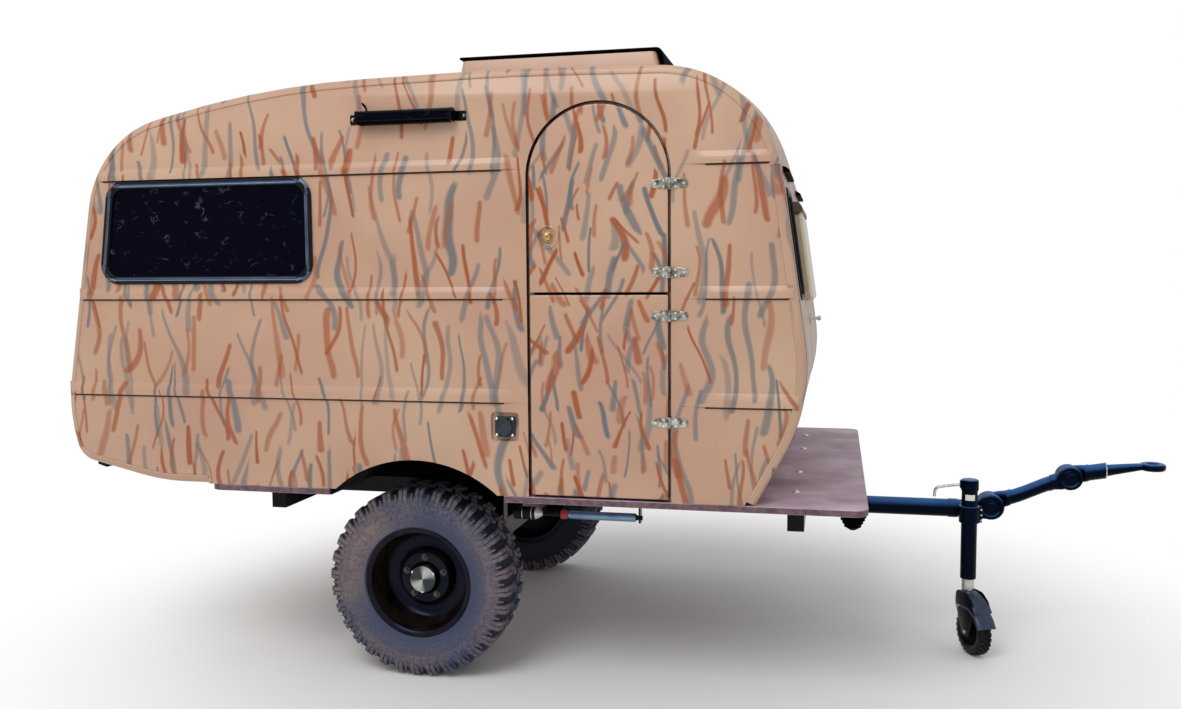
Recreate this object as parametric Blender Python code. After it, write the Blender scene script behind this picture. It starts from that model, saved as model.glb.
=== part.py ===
"""Small off-road camping caravan with a moulded glass-fibre body.

Metres, +Z up. +X points forward to the tow eye, -Y is the door side, the ground is Z = 0.
Every size below is measured from the middle of the axle line at ground level. One empty,
"ground_under_middle", carries all pieces and moves them back, so that the world origin lies on the
ground under the middle of the overall length.
"""
import math

import bpy
import bmesh
from mathutils import Matrix, Vector

# Gaps and shading
FIT_GAP = 0.0003          # between two pieces that touch
PIN_GAP = 0.0005          # around a pin in its bore
RUNNING_GAP = 0.006       # between pieces that move past each other
OVERLAP = 0.001           # how far a piece reaches into the one it is joined to
SHARP_ANGLE = math.radians(32)
ARC_STEP = math.radians(12)
SMALL_ARC_STEP = math.radians(22.5)
SMALL_R = 0.080

# Overall places
MIDDLE_X = 0.735          # middle of the overall length, ahead of the axle
DECK_TOP = 0.771
DECK_THICK = 0.024
DECK_REAR_X = -0.830
DECK_FRONT_X = 1.721
DECK_CORNER_R = 0.055
DECK_BOTTOM = DECK_TOP - DECK_THICK

# Body shell
BODY_HALF = 0.9965        # half the width over the flat sides
WALL = 0.032
EDGE_R = 0.028            # rounding where roof, front and rear turn into the sides
ROOF_CROWN = 0.050        # how much the roof rises from its side edges to the middle
CROWN_SPANS = 6
EDGE_SPANS = 2
BODY_FOOT = DECK_TOP + FIT_GAP
FRONT_FOOT_X = 1.331
PANEL_JOINT_Z = 1.970     # where the roof moulding meets the front and rear ones
PANEL_GAP = 0.001
CROWN_FULL_Z = 2.280      # above this the roof has its whole crown

# Side profile from the front foot over the roof to the rear foot: x, z, corner radius
PROFILE_CORNERS = (
    (1.529, 1.135, 0.65),     # knuckle of the front
    (1.362, 2.317, 0.44),     # front edge of the roof
    (0.450, 2.341, 8.00),
    (-0.541, 2.324, 4.00),
    (-1.295, 2.150, 0.42),    # rear edge of the roof
    (-1.476, 1.060, 0.60),
    (-1.422, 0.856, 0.10),    # rear lower corner
    (-1.048, BODY_FOOT, 0.90),
)

# Swages pressed into the sides: top z, bottom z
SWAGES = ((2.020, 1.970), (1.550, 1.500), (1.172, 1.115))
SWAGE_DEPTH = 0.009
SWAGE_FADE = 0.050
SWAGE_EDGE = 0.002        # from the swage's end to the edge of its panel
SWAGE_STOPS = (0.485, 1.075)    # where they end behind and ahead of the door

# Wheels and wheel arches
AXLE_Z = 0.380
TYRE_R = 0.380
TRACK_HALF = BODY_HALF - 0.2315
ARCH_X = 0.048
ARCH_Z = AXLE_Z + 0.014
ARCH_CLEAR = 0.120        # around the tyre
ARCH_R = TYRE_R + ARCH_CLEAR
ARCH_INNER_Y = TRACK_HALF - 0.165
ARCH_OUTER_Y = BODY_HALF - 0.0085
ARCH_SHEET = 0.003
ARCH_STEP = math.radians(8)

# Door
DOOR_REAR_X = 0.500
DOOR_FRONT_X = 1.032
DOOR_SPRING_Z = 1.944     # where its round top begins
DOOR_GAP = 0.010
DOOR_FOOT_Z = 0.780
DOOR_SPLIT_Z = 1.524
DOOR_SPLIT_GAP = 0.008
DOOR_THICK = 0.025
DOOR_IN = 0.001           # how far its skin lies behind the wall's
DOOR_STOP_LAP = 0.020
DOOR_STOP_THICK = 0.014
DOOR_ARC_STEP = math.radians(12)
HINGE_X = DOOR_FRONT_X - DOOR_GAP / 2
HINGE_OUT = 0.0065        # how far the pin stands off the side
HINGE_ZS = (1.911, 1.599, 1.445, 1.062)
HINGE_BARREL_R = 0.0055
HINGE_TALL = 0.042
HINGE_TIP_TALL = 0.022
HINGE_LEAF = 0.066
HINGE_SHEET = 0.003
LOCK_X = 0.579
LOCK_Z = 1.730
LOCK_DISH_R = 0.038
LOCK_DISH_DEEP = 0.008
# Steps of the lock's knob: distance out of the dish, radius
LOCK_STEPS = ((FIT_GAP, 0.020), (0.004, 0.020), (0.006, 0.015), (0.016, 0.014), (0.020, 0.006))

# Power inlet in the right-hand wall
INLET_X = 0.4095
INLET_Z = 1.0315
INLET_DISH = 0.098
INLET_DISH_DEEP = 0.014
INLET_BASE = 0.076
INLET_BASE_R = 0.008
INLET_PROUD = 0.004
INLET_LID_R = 0.031
INLET_LID_THICK = 0.011

# Work light above the side window
LIGHT_REAR_X = -0.141
LIGHT_FRONT_X = 0.238
LIGHT_LOW = 2.150
LIGHT_HIGH = 2.202
LIGHT_BACK = 0.012        # from the wall to the back of the light
LIGHT_FACE = 0.052
LIGHT_CORNER_R = 0.008
LIGHT_FOOT = 0.040
LIGHT_FOOT_SHEET = 0.003
LIGHT_LEAD_R = 0.0035

# Windows: the rubber seal is a ring set in the wall, the glass is set in the ring
SEAL_WIDE = 0.028
SEAL_PROUD = 0.010
GLASS_THICK = 0.004
GLASS_IN = 0.004          # from the wall's skin to the glass
WINDOW_CORNER_R = 0.075
WINDOW_ARC_STEP = math.radians(18)
SIDE_WINDOW = ((-1.284, 1.570), (-0.353, 1.570), (-0.353, 1.970), (-1.233, 1.970))
VENT_HALF = 0.330         # the hinged middle pane of the front
FRONT_PANE_NEAR = VENT_HALF + 0.070
FRONT_PANE_FAR = BODY_HALF - 0.1965
FRONT_PANES = (("right", -FRONT_PANE_FAR, -FRONT_PANE_NEAR), ("left", FRONT_PANE_NEAR, FRONT_PANE_FAR))
FRONT_PANE_LOW = 1.500
FRONT_PANE_HIGH = 1.900
FRONT_PANE_R = 0.050
FRONT_PANE_IN = 0.006     # from the front wall's skin to the pane
FRONT_PANE_THICK = 0.008
VENT_LOW = 1.480
VENT_HIGH = 1.835
VENT_RAIL = 0.045         # height of the rail over the pane
VENT_RAIL_PROUD = 0.004   # from the pane's face to the rail's
VENT_OUT = 0.034
VENT_THICK = 0.012
VENT_RIM = 0.012
VENT_LAP = 0.030          # from the edge of the pane to the opening behind it
VENT_CORNER_R = 0.030
REAR_WINDOW_HALF = BODY_HALF - 0.4465
REAR_WINDOW_LOW = 1.450
REAR_WINDOW_HIGH = 1.830

# Tail lamps and number plate
LAMP_LOW = 1.235
LAMP_HIGH = 1.335
LAMP_NEAR = BODY_HALF - 0.3565
LAMP_FAR = BODY_HALF - 0.1165
LAMP_R = 0.020
LAMP_PROUD = 0.034
PLATE_HALF = 0.260
PLATE_MARGIN = 0.006      # how much taller than the lamps it is, above and below
PLATE_THICK = 0.006
PLATE_R = 0.010

# Roof hatch
HATCH_REAR_X = -0.008
HATCH_FRONT_X = 0.893
HATCH_HALF = 0.310
HATCH_LEAN = 0.028
HATCH_SINK = 0.041        # from the roof's line down to the hatch's foot
HATCH_STRAIGHT = 0.100    # from the foot to where its ends begin to lean
HATCH_TALL = 0.214
HATCH_FOOT_Z = PROFILE_CORNERS[2][1] - HATCH_SINK
HATCH_WAIST_Z = HATCH_FOOT_Z + HATCH_STRAIGHT
HATCH_TOP_Z = HATCH_FOOT_Z + HATCH_TALL
HATCH_WALL = 0.018
HATCH_CORNER_R = 0.020
HATCH_LEDGE = 0.010
HATCH_PIN_AHEAD = 0.012   # from the upstand's front to the pin
LID_THICK = 0.010
LID_CORNER_R = 0.032
LID_SKIRT_GAP = 0.016
LID_REAR_LAP = 0.012
HATCH_PIN_R = 0.006
HATCH_PIN_Z = HATCH_WAIST_Z + 0.040
HATCH_PIN_HALF = 0.240

# Chassis
FRAME_TOP = DECK_BOTTOM - FIT_GAP
FRAME_BOTTOM = 0.665
CROSS_WIDE = 0.060
CROSS_FRONT_X = 1.469
CROSS_REAR_X = -0.577
CROSS_HALF = BODY_HALF - 0.0965
BEAM_HALF = ARCH_INNER_Y - 0.040
RAIL_Y = BEAM_HALF - 0.060
RAIL_WIDE = 0.060
DRAWBAR_R = 0.0375
DRAWBAR_Z = 0.583
DRAWBAR_REAR_X = 0.760
DRAWBAR_FRONT_X = 2.186
BEAM_X = 0.180
BEAM_Z = 0.500
BEAM_SIZE = 0.080
BEAM_BRACKET = (0.140, 0.050)
ARM_THICK = 0.048
ARM_HEAD_R = 0.055
ARM_FOOT_R = 0.042
SPINDLE_R = 0.020
SPINDLE_END_Y = TRACK_HALF - 0.075
BACKPLATE_R = 0.130
BACKPLATE_THICK = 0.010

# Dampers under the sills
DAMPER_Y = BODY_HALF - 0.1265
DAMPER_Z = 0.682
DAMPER_SHEET = 0.006
DAMPER_LUG = 0.038
DAMPER_REAR_X = 0.432
# Steps of its outside: distance ahead of the rear end, radius
DAMPER_STEPS = (
    (0.000, 0.024),
    (0.057, 0.026),
    (0.068, 0.020),
    (0.088, 0.008),     # rod
    (0.158, 0.008),
    (0.160, 0.017),     # rubber bush
    (0.178, 0.017),
    (0.187, 0.012),
    (0.193, 0.016),     # tube
    (0.446, 0.016),
    (0.451, 0.010),
    (0.473, 0.008),
)
DAMPER_FRONT_X = DAMPER_REAR_X + DAMPER_STEPS[-1][0]

# Wheel parts: offsets outwards from the wheel's middle plane, radii
RIM_FACE = 0.1065
RIM_SHEET = 0.005
RIM_SEAT_R = 0.203
RIM_FLANGE_R = RIM_SEAT_R + 0.0185
RIM_WELL_R = RIM_SEAT_R - 0.023
RIM_DISC = -0.036         # the disc's inner face
RIM_DISH = 0.006          # how far the disc stands out at its edge
RIM_PAD = 0.0215          # inner face of the raised middle, which takes the nuts
RIM_PAD_R = 0.088
RIM_PAD_FOOT_R = 0.100
RIM_BORE_R = 0.062
DISC_RING_R = RIM_WELL_R - 0.030
DISC_FLAT_R = DISC_RING_R - 0.031
WELL_OUT = 0.040          # the well's two ends
WELL_IN = -0.030
WELL_SLOPE = 0.015
TYRE_HALF = 0.1225
# Half sections of the tyre: share of half its width, share of the way from the rim's seat to the tread
TYRE_OUTSIDE = ((1.00, 0.58), (0.97, 0.33))
TYRE_INSIDE = ((0.67, 0.00), (0.83, 0.46), (0.72, 0.79))
# Rows of the tread, middle first: the same two shares on a lug, and in the groove beside it
TREAD_ROWS = (
    (0.05, 1.00, 0.05, 0.92),
    (0.72, 1.00, 0.70, 0.92),
    (0.96, 0.83, 0.93, 0.79),
)
LUG_COUNT = 32            # on each half of the tread, half a pitch apart
LUG_EDGES = (0.00, 0.42, 0.50, 0.92)    # lug from the first to the second, as shares of a pitch
BEAD_SHARE = 0.13
DRUM_R = 0.125
DRUM_BACK = -0.134
HUB_CAP_R = 0.050
HUB_FLANGE_R = 0.057      # the cap's flange and where it begins
HUB_FLANGE_IN = 0.020
HUB_CAP_END = 0.056
HUB_CAP_EDGE = 0.009
RIM_SEGMENTS = 24

# Jockey wheel
JOCKEY_X = DRAWBAR_FRONT_X - 0.031
JOCKEY_Y = -0.110
JOCKEY_TUBE_R = 0.032
JOCKEY_TUBE_LOW = 0.310
JOCKEY_HEAD_Z = 0.684
JOCKEY_TOP_Z = 0.730
JOCKEY_BORE_R = 0.0255
JOCKEY_INNER_R = 0.025
JOCKEY_INNER_LOW = 0.262
JOCKEY_INNER_TOP = 0.600
CLAMP_LOW = 0.548
CLAMP_HIGH = 0.618
CLAMP_WALL = 0.009
CLAMP_PAD = 0.060
JOCKEY_HEAD_R = 0.036
JOCKEY_HEAD_WALL = 0.010
CRANK_R = 0.006
# Crank from the head: distance behind the tube's middle, height
CRANK_ROUTE = ((0.020, 0.706), (0.125, 0.694), (0.137, 0.686), (0.141, 0.652))
CASTER_R = 0.100
CASTER_WIDE = 0.056
CASTER_TRAIL = 0.050
CASTER_TURN = math.radians(-65)
CASTER_PIN_R = 0.008
CASTER_PIN_TALL = 0.040
# Half section of the caster's wheel: share of half its width, depth below the tread
CASTER_STEPS = ((0.55, 0.000), (1.00, 0.016), (1.00, 0.038), (0.70, 0.055), (1.00, 0.070))
FORK_REACH = (-0.030, 0.110)    # ends of the crown behind and ahead of the swivel
FORK_PLATE = 0.005
FORK_EYE = 0.022
# Hood over the small wheel, as turns about its axle: front lip, rear end
HOOD_TURNS = (math.radians(12), math.radians(112))
HOOD_SHEET = 0.006

# Drawbar knuckles and tow eye: joints turn about Y
KNUCKLE_1 = (DRAWBAR_FRONT_X + 0.064, 0.600)
KNUCKLE_1_R = 0.058
KNUCKLE_2 = (2.560, 0.733)
KNUCKLE_2_R = 0.050
KNUCKLE_HALF = 0.048
KNUCKLE_STEP = 0.006      # how much thinner the front knuckle is on each side
KNUCKLE_NECK = 0.021
ARM_TUBE_R = 0.029
# Arm between the knuckles: share of its length, share of the rise from one knuckle to the other
ARM_ROUTE = ((0.00, 0.24), (0.29, 0.39), (0.61, 0.60), (1.00, 0.84))
EYE_X = 2.880
EYE_Z = 0.787
EYE_R = 0.050
EYE_HOLE_R = 0.021
EYE_THICK = 0.030
EYE_STEM = 0.010          # how far the stem reaches into the ring
# Socket and stem of the eye: distance ahead of its rear end, rise over the knuckle, radius
SOCKET_STEPS = ((0.000, 0.017, 0.034), (0.084, 0.031, 0.034), (0.086, 0.031, 0.023), (None, 0.054, 0.017))

# Ribbed cowl under the deck's front corner: drop, radius
COWL_X = DECK_FRONT_X - 0.049
COWL_Y = 0.2965 - BODY_HALF
COWL_STEPS = ((0.000, 0.056), (0.057, 0.050), (0.102, 0.026), (0.113, 0.010))

# Bar under the rear wall
REAR_BAR_X = (-1.385, -1.345)
REAR_BAR_TALL = 0.030
REAR_BAR_HALF = BODY_HALF - 0.0665

SEGMENTS = 20
SIDES = (("right", -1), ("left", 1))

# Finish name: linear colour, roughness, metallic
FINISHES = {
    "camouflage_gelcoat": ((0.56, 0.35, 0.23), 0.38, 0.0),
    "film_faced_ply": ((0.13, 0.065, 0.062), 0.55, 0.0),
    "black_enamel": ((0.012, 0.013, 0.016), 0.30, 0.0),
    "dark_rubber": ((0.022, 0.030, 0.055), 0.55, 0.0),
    "tinted_acrylic": ((0.006, 0.007, 0.012), 0.10, 0.0),
    "tyre_rubber": ((0.055, 0.046, 0.048), 0.85, 0.0),
    "bright_zinc": ((0.62, 0.62, 0.60), 0.30, 1.0),
    "damper_paint": ((0.30, 0.38, 0.42), 0.30, 0.8),
    "brass": ((0.62, 0.38, 0.12), 0.30, 1.0),
    "brown_plastic": ((0.20, 0.12, 0.12), 0.45, 0.0),
    "clear_acrylic": ((0.60, 0.62, 0.60), 0.10, 0.0),
    "lamp_lens": ((0.35, 0.02, 0.015), 0.15, 0.0),
    "plate_white": ((0.75, 0.75, 0.72), 0.40, 0.0),
    "black_plastic": ((0.020, 0.024, 0.030), 0.45, 0.0),
}


def remove_everything():
    for item in list(bpy.data.objects):
        bpy.data.objects.remove(item)


def make_finish(name):
    colour, roughness, metallic = FINISHES[name]
    finish = bpy.data.materials.new(name)
    finish.use_nodes = True
    shader = finish.node_tree.nodes["Principled BSDF"]
    shader.inputs["Base Color"].default_value = (*colour, 1.0)
    shader.inputs["Roughness"].default_value = roughness
    shader.inputs["Metallic"].default_value = metallic
    return finish


remove_everything()
FINISH = {name: make_finish(name) for name in FINISHES}
CARRIER = bpy.data.objects.new("ground_under_middle", None)
CARRIER.location = (-MIDDLE_X, 0.0, 0.0)
bpy.context.scene.collection.objects.link(CARRIER)


# Outlines in a plane
def arc_step(radius):
    """Small roundings get fewer facets than the body's curves."""
    return ARC_STEP if radius > SMALL_R else SMALL_ARC_STEP


def arc(centre, radius, start, stop, step=ARC_STEP):
    """Points of an arc, both ends included."""
    count = max(2, math.ceil(abs(stop - start) / step))
    turns = [start + (stop - start) * k / count for k in range(count + 1)]
    return [Vector((centre[0] + radius * math.cos(a), centre[1] + radius * math.sin(a))) for a in turns]


def rounded(corners, closed=True, step=None):
    """An outline through (a, b, radius) corners, each turned into an arc."""
    points = []
    count = len(corners)
    for k, (a, b, radius) in enumerate(corners):
        here = Vector((a, b))
        end = not closed and k in (0, count - 1)
        if end or radius == 0:
            points.append(here)
            continue
        back = (Vector(corners[k - 1][:2]) - here).normalized()
        ahead = (Vector(corners[(k + 1) % count][:2]) - here).normalized()
        half = back.angle(ahead) / 2
        centre = here + (back + ahead).normalized() * radius / math.sin(half)
        reach = radius / math.tan(half)
        first = here + back * reach - centre
        last = here + ahead * reach - centre
        start = math.atan2(first.y, first.x)
        sweep = math.remainder(math.atan2(last.y, last.x) - start, math.tau)
        points += arc(centre, radius, start, start + sweep, step or arc_step(radius))
    return points


def rectangle(a0, a1, b0, b1, radius=0.0):
    return rounded([(a0, b0, radius), (a1, b0, radius), (a1, b1, radius), (a0, b1, radius)])


def circle(centre, radius, segments=SEGMENTS):
    turns = [math.tau * k / segments for k in range(segments)]
    return [Vector((centre[0] + radius * math.cos(a), centre[1] + radius * math.sin(a))) for a in turns]


def outward(points, closed=True):
    """Unit normals on the right of a path, with the length that keeps an offset parallel."""
    normals = []
    count = len(points)
    for k, here in enumerate(points):
        before = points[k - 1] if closed or k else None
        after = points[(k + 1) % count] if closed or k < count - 1 else None
        sides = [b - a for a, b in ((before, here), (here, after)) if a is not None and b is not None]
        sides = [Vector((s.y, -s.x)).normalized() for s in sides]
        if len(sides) == 1:
            sides *= 2
        normals.append((sides[0] + sides[1]) / (1 + sides[0].dot(sides[1])))
    return normals


def inset(points, distance, closed=True):
    """A counter-clockwise outline moved inwards."""
    return [p - n * distance for p, n in zip(points, outward(points, closed))]


# Solids from outlines
def place(axis, a, b, along):
    """A point from an outline's two coordinates and its place along the extruded axis."""
    return {"X": (along, a, b), "Y": (a, along, b), "Z": (a, b, along)}[axis]


def prism(outline, axis, low, high):
    """A straight extrusion of an outline."""
    mesh = bmesh.new()
    rings = [[mesh.verts.new(place(axis, p[0], p[1], along)) for p in outline] for along in (low, high)]
    bridge(mesh, rings[0], rings[1])
    mesh.faces.new(rings[0])
    mesh.faces.new(rings[1])
    return mesh


def bridge(mesh, one, two, closed=True):
    count = len(one)
    for k in range(count if closed else count - 1):
        other = (k + 1) % count
        mesh.faces.new((one[k], one[other], two[other], two[k]))


def ring_prism(outer, inner, axis, low, high):
    """An extruded ring between two outlines with as many points each."""
    mesh = bmesh.new()
    loops = [
        [mesh.verts.new(place(axis, p[0], p[1], along)) for p in outline]
        for outline, along in ((outer, low), (outer, high), (inner, high), (inner, low))
    ]
    for k in range(4):
        bridge(mesh, loops[k], loops[(k + 1) % 4])
    return mesh


def box(x0, x1, y0, y1, z0, z1):
    return prism([(x0, z0), (x1, z0), (x1, z1), (x0, z1)], "Y", min(y0, y1), max(y0, y1))


def loft(rings):
    """A solid through rings of 3-D points, with flat ends."""
    mesh = bmesh.new()
    loops = [[mesh.verts.new(p) for p in ring] for ring in rings]
    for one, two in zip(loops, loops[1:]):
        bridge(mesh, one, two)
    mesh.faces.new(loops[0])
    mesh.faces.new(loops[-1])
    return mesh


def turned(profile, axis, centre, segments=SEGMENTS, loop=False):
    """A profile of (along, radius) points turned about an axis through a centre.

    A loop closes on itself, as a tyre's does. Otherwise the ends have radius 0.
    """
    mesh = bmesh.new()
    rings = []
    for along, radius in profile:
        spots = [(0.0, 0.0)] if radius == 0 else circle((0.0, 0.0), radius, segments)
        points = [Vector(place(axis, a, b, along)) + Vector(centre) for a, b in spots]
        rings.append([mesh.verts.new(p) for p in points])
    pairs = list(zip(rings, rings[1:]))
    if loop:
        pairs.append((rings[-1], rings[0]))
    for one, two in pairs:
        if len(one) == 1 or len(two) == 1:
            tip, rim = (one, two) if len(one) == 1 else (two, one)
            for k in range(segments):
                mesh.faces.new((tip[0], rim[k], rim[(k + 1) % segments]))
        else:
            bridge(mesh, one, two)
    return mesh


def swept(points, radius, segments=12):
    """A round bar along a path; every point is (x, y, z)."""
    path = [Vector(p) for p in points]
    rings = []
    for k, here in enumerate(path):
        back = here - path[k - 1] if k else path[1] - here
        ahead = path[k + 1] - here if k < len(path) - 1 else back
        along = (back.normalized() + ahead.normalized()).normalized()
        side = Vector((0.0, 1.0, 0.0))
        if abs(along.dot(side)) > 0.9:
            side = Vector((1.0, 0.0, 0.0))
        up = along.cross(side).normalized()
        side = up.cross(along)
        turns = [math.tau * j / segments for j in range(segments)]
        rings.append([here + (side * math.cos(a) + up * math.sin(a)) * radius for a in turns])
    return loft(rings)


def hull_plate(ends, axis, low, high):
    """A flat link around two or more (a, b, radius) round ends, widest first."""
    (a0, b0, r0), (a1, b1, r1) = ends
    gap = Vector((a1 - a0, b1 - b0))
    lean = math.acos((r0 - r1) / gap.length)
    heading = math.atan2(gap.y, gap.x)
    outline = arc((a0, b0), r0, heading + lean, heading + math.tau - lean, math.radians(20))
    outline += arc((a1, b1), r1, heading - lean, heading + lean, math.radians(20))
    return prism(outline, axis, low, high)


# Objects
def add(name, mesh, finish, at=(0.0, 0.0, 0.0), tilt=0.0):
    """An object on the carrier; `at` is its own origin and `tilt` turns it about Y."""
    bmesh.ops.recalc_face_normals(mesh, faces=mesh.faces)
    data = bpy.data.meshes.new(name)
    if not tilt:
        bmesh.ops.translate(mesh, verts=mesh.verts, vec=-Vector(at))
    mesh.to_mesh(data)
    mesh.free()
    data.shade_smooth()
    data.set_sharp_from_angle(angle=SHARP_ANGLE)
    data.materials.append(FINISH[finish])
    item = bpy.data.objects.new(name, data)
    item.parent = CARRIER
    item.location = at
    item.rotation_euler = (0.0, tilt, 0.0)
    bpy.context.scene.collection.objects.link(item)
    return item


def combine(target, operation, meshes, at=None, tilt=0.0):
    """Cuts meshes out of an object, or joins them to it."""
    for mesh in meshes:
        name = f"{target.name}_{operation.lower()}_{len(target.modifiers)}"
        tool = add(name, mesh, "black_enamel", at or (0.0, 0.0, 0.0), tilt)
        tool.hide_render = True
        tool.display_type = "WIRE"
        step = target.modifiers.new(name, "BOOLEAN")
        step.operation = operation
        step.object = tool
        step.solver = "EXACT"
    return target


def cut(target, *meshes, **where):
    return combine(target, "DIFFERENCE", meshes, **where)


def join(target, *meshes, **where):
    return combine(target, "UNION", meshes, **where)


# Body profile
PROFILE = rounded(
    [(FRONT_FOOT_X, BODY_FOOT, 0)] + list(PROFILE_CORNERS) + [(DECK_REAR_X, BODY_FOOT, 0)],
    closed=False,
)


def cross_level(z, front, path=PROFILE):
    """Where the profile crosses a level: its place in the list, and the point itself."""
    for k, (p, q) in enumerate(zip(path, path[1:])):
        if (p.x > 0) == front and min(p.y, q.y) <= z < max(p.y, q.y):
            return k, p.lerp(q, (z - p.y) / (q.y - p.y))
    raise ValueError("the profile does not reach this level")


def smooth_step(value):
    value = min(1.0, max(0.0, value))
    return value * value * (3 - 2 * value)


def shell(path, spans=1):
    """A moulding that follows part of the profile from side to side, with rounded edges."""
    flat = BODY_HALF - EDGE_R
    turns = [math.pi / 2 * k / EDGE_SPANS for k in range(EDGE_SPANS, 0, -1)]
    edge = [(-flat - EDGE_R * math.sin(a), EDGE_R * math.cos(a) - EDGE_R) for a in turns]
    middle = [(-flat + 2 * flat * k / spans, 0.0) for k in range(spans + 1)]
    section = edge + middle + [(-y, drop) for y, drop in reversed(edge)]
    rings = []
    for here, normal in zip(path, outward(path, closed=False)):
        share = smooth_step((here.y - PANEL_JOINT_Z) / (CROWN_FULL_Z - PANEL_JOINT_Z))
        outer, inner = [], []
        for y, drop in section:
            crown = ROOF_CROWN * share * max(0.0, 1 - (y / flat) ** 2)
            skin = here + normal * (drop + crown)
            back = here + normal * (crown - WALL)
            outer.append((skin.x, y, skin.y))
            inner.append((back.x, y, back.y))
        rings.append((outer, inner))
    mesh = bmesh.new()
    outers = [[mesh.verts.new(p) for p in outer] for outer, inner in rings]
    inners = [[mesh.verts.new(p) for p in inner] for outer, inner in rings]
    for k in range(len(path) - 1):
        bridge(mesh, outers[k], outers[k + 1], closed=False)
        bridge(mesh, inners[k], inners[k + 1], closed=False)
        for edge in (0, -1):
            mesh.faces.new((outers[k][edge], outers[k + 1][edge], inners[k + 1][edge], inners[k][edge]))
    for end in (0, -1):
        bridge(mesh, outers[end], inners[end], closed=False)
    return mesh


def face_frame(high, low):
    """Slope of a straight stretch of the profile, as a turn about Y, and its unit direction up."""
    up = (Vector(high[:2]) - Vector(low[:2])).normalized()
    return math.atan2(up.x, up.y), up


FRONT_TILT, FRONT_UP = face_frame(PROFILE_CORNERS[1], PROFILE_CORNERS[0])
REAR_TILT, REAR_UP = face_frame(PROFILE_CORNERS[4], PROFILE_CORNERS[5])
FRONT_SPOT = cross_level(FRONT_PANE_LOW, True)[1]
REAR_SPOT = cross_level(REAR_WINDOW_LOW, False)[1]
FRONT_AT = (FRONT_SPOT.x, 0.0, FRONT_SPOT.y)
REAR_AT = (REAR_SPOT.x, 0.0, REAR_SPOT.y)


def body_shells():
    """Front, roof and rear mouldings."""
    front_end, front_point = cross_level(PANEL_JOINT_Z, True)
    rear_end, rear_point = cross_level(PANEL_JOINT_Z, False)
    lift = Vector((0.0, PANEL_GAP))
    add("front_wall", shell(PROFILE[: front_end + 1] + [front_point - lift]), "camouflage_gelcoat")
    roof = [front_point] + PROFILE[front_end + 1 : rear_end + 1] + [rear_point]
    add("roof_shell", shell(roof, CROWN_SPANS), "camouflage_gelcoat")
    add("rear_wall", shell([rear_point - lift] + PROFILE[rear_end + 1 :]), "camouflage_gelcoat")


# Sides
def door_outline(gap, low, high=None):
    """The doorway less a gap all round; with `high` it stops there with a flat top."""
    rear, front = DOOR_REAR_X + gap, DOOR_FRONT_X - gap
    if high is not None:
        return rectangle(rear, front, low, high)
    middle = ((rear + front) / 2, DOOR_SPRING_Z)
    top = arc(middle, (front - rear) / 2, 0, math.pi, DOOR_ARC_STEP)
    return [Vector((rear, low)), Vector((front, low))] + top


def swage(side, x0, x1, top, bottom):
    """A wedge along the side that fades out at both ends."""
    rings = []
    ends = ((x0, 0.0), (x0 + SWAGE_FADE, SWAGE_DEPTH), (x1 - SWAGE_FADE, SWAGE_DEPTH), (x1, 0.0))
    for x, depth in ends:
        root, lip = side * (BODY_HALF - WALL / 4), side * (BODY_HALF + FIT_GAP + depth)
        rings.append([(x, root, top), (x, side * BODY_HALF, top), (x, lip, bottom), (x, root, bottom)])
    return loft(rings)


def window_outline(corners, radius, shrink=0.0):
    return inset(rounded([(*c, radius) for c in corners], step=WINDOW_ARC_STEP), shrink)


def side_wall(side, name):
    """One flat side with its window hole, wheel arch and swages."""
    skin = inset(PROFILE, WALL + PANEL_GAP, closed=False)
    foot_x = skin[0].x - (skin[0].y - BODY_FOOT) * (skin[1].x - skin[0].x) / (skin[1].y - skin[0].y)
    rear_x = DECK_REAR_X + PANEL_GAP
    outline = [Vector((foot_x, BODY_FOOT))] + skin[:-1]
    outline += [Vector((rear_x, skin[-1].y)), Vector((rear_x, BODY_FOOT))]
    inner, outer = side * (BODY_HALF - WALL), side * BODY_HALF
    wall = add(name, prism(outline, "Y", min(inner, outer), max(inner, outer)), "camouflage_gelcoat")
    through = (min(inner, outer) - WALL, max(inner, outer) + WALL)
    for top, bottom in SWAGES:
        rear = max(cross_level(z, False, skin)[1].x for z in (top, bottom)) + SWAGE_EDGE
        front = min(cross_level(z, True, skin)[1].x for z in (top, bottom)) - SWAGE_EDGE
        stops = SWAGE_STOPS if side < 0 else ()
        ends = (rear, *stops, front)
        for x0, x1 in zip(ends[::2], ends[1::2]):
            join(wall, swage(side, x0, x1, top, bottom))
    if side < 0:
        wide, narrow = (door_outline(lap, BODY_FOOT) for lap in (-DOOR_STOP_LAP, DOOR_STOP_LAP))
        stop = wide[1:] + wide[:1] + narrow[:1] + narrow[:0:-1]
        frame = prism(stop, "Y", inner + side * FIT_GAP, inner - side * DOOR_STOP_THICK)
        cut(wall, prism(door_outline(0.0, DECK_BOTTOM), "Y", *through))
        join(wall, frame)
    cut(
        wall,
        prism(window_outline(SIDE_WINDOW, WINDOW_CORNER_R), "Y", *through),
        prism(arch_line(ARCH_R) + [Vector((ARCH_X, ARCH_Z))], "Y", *through),
    )
    return wall


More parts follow.
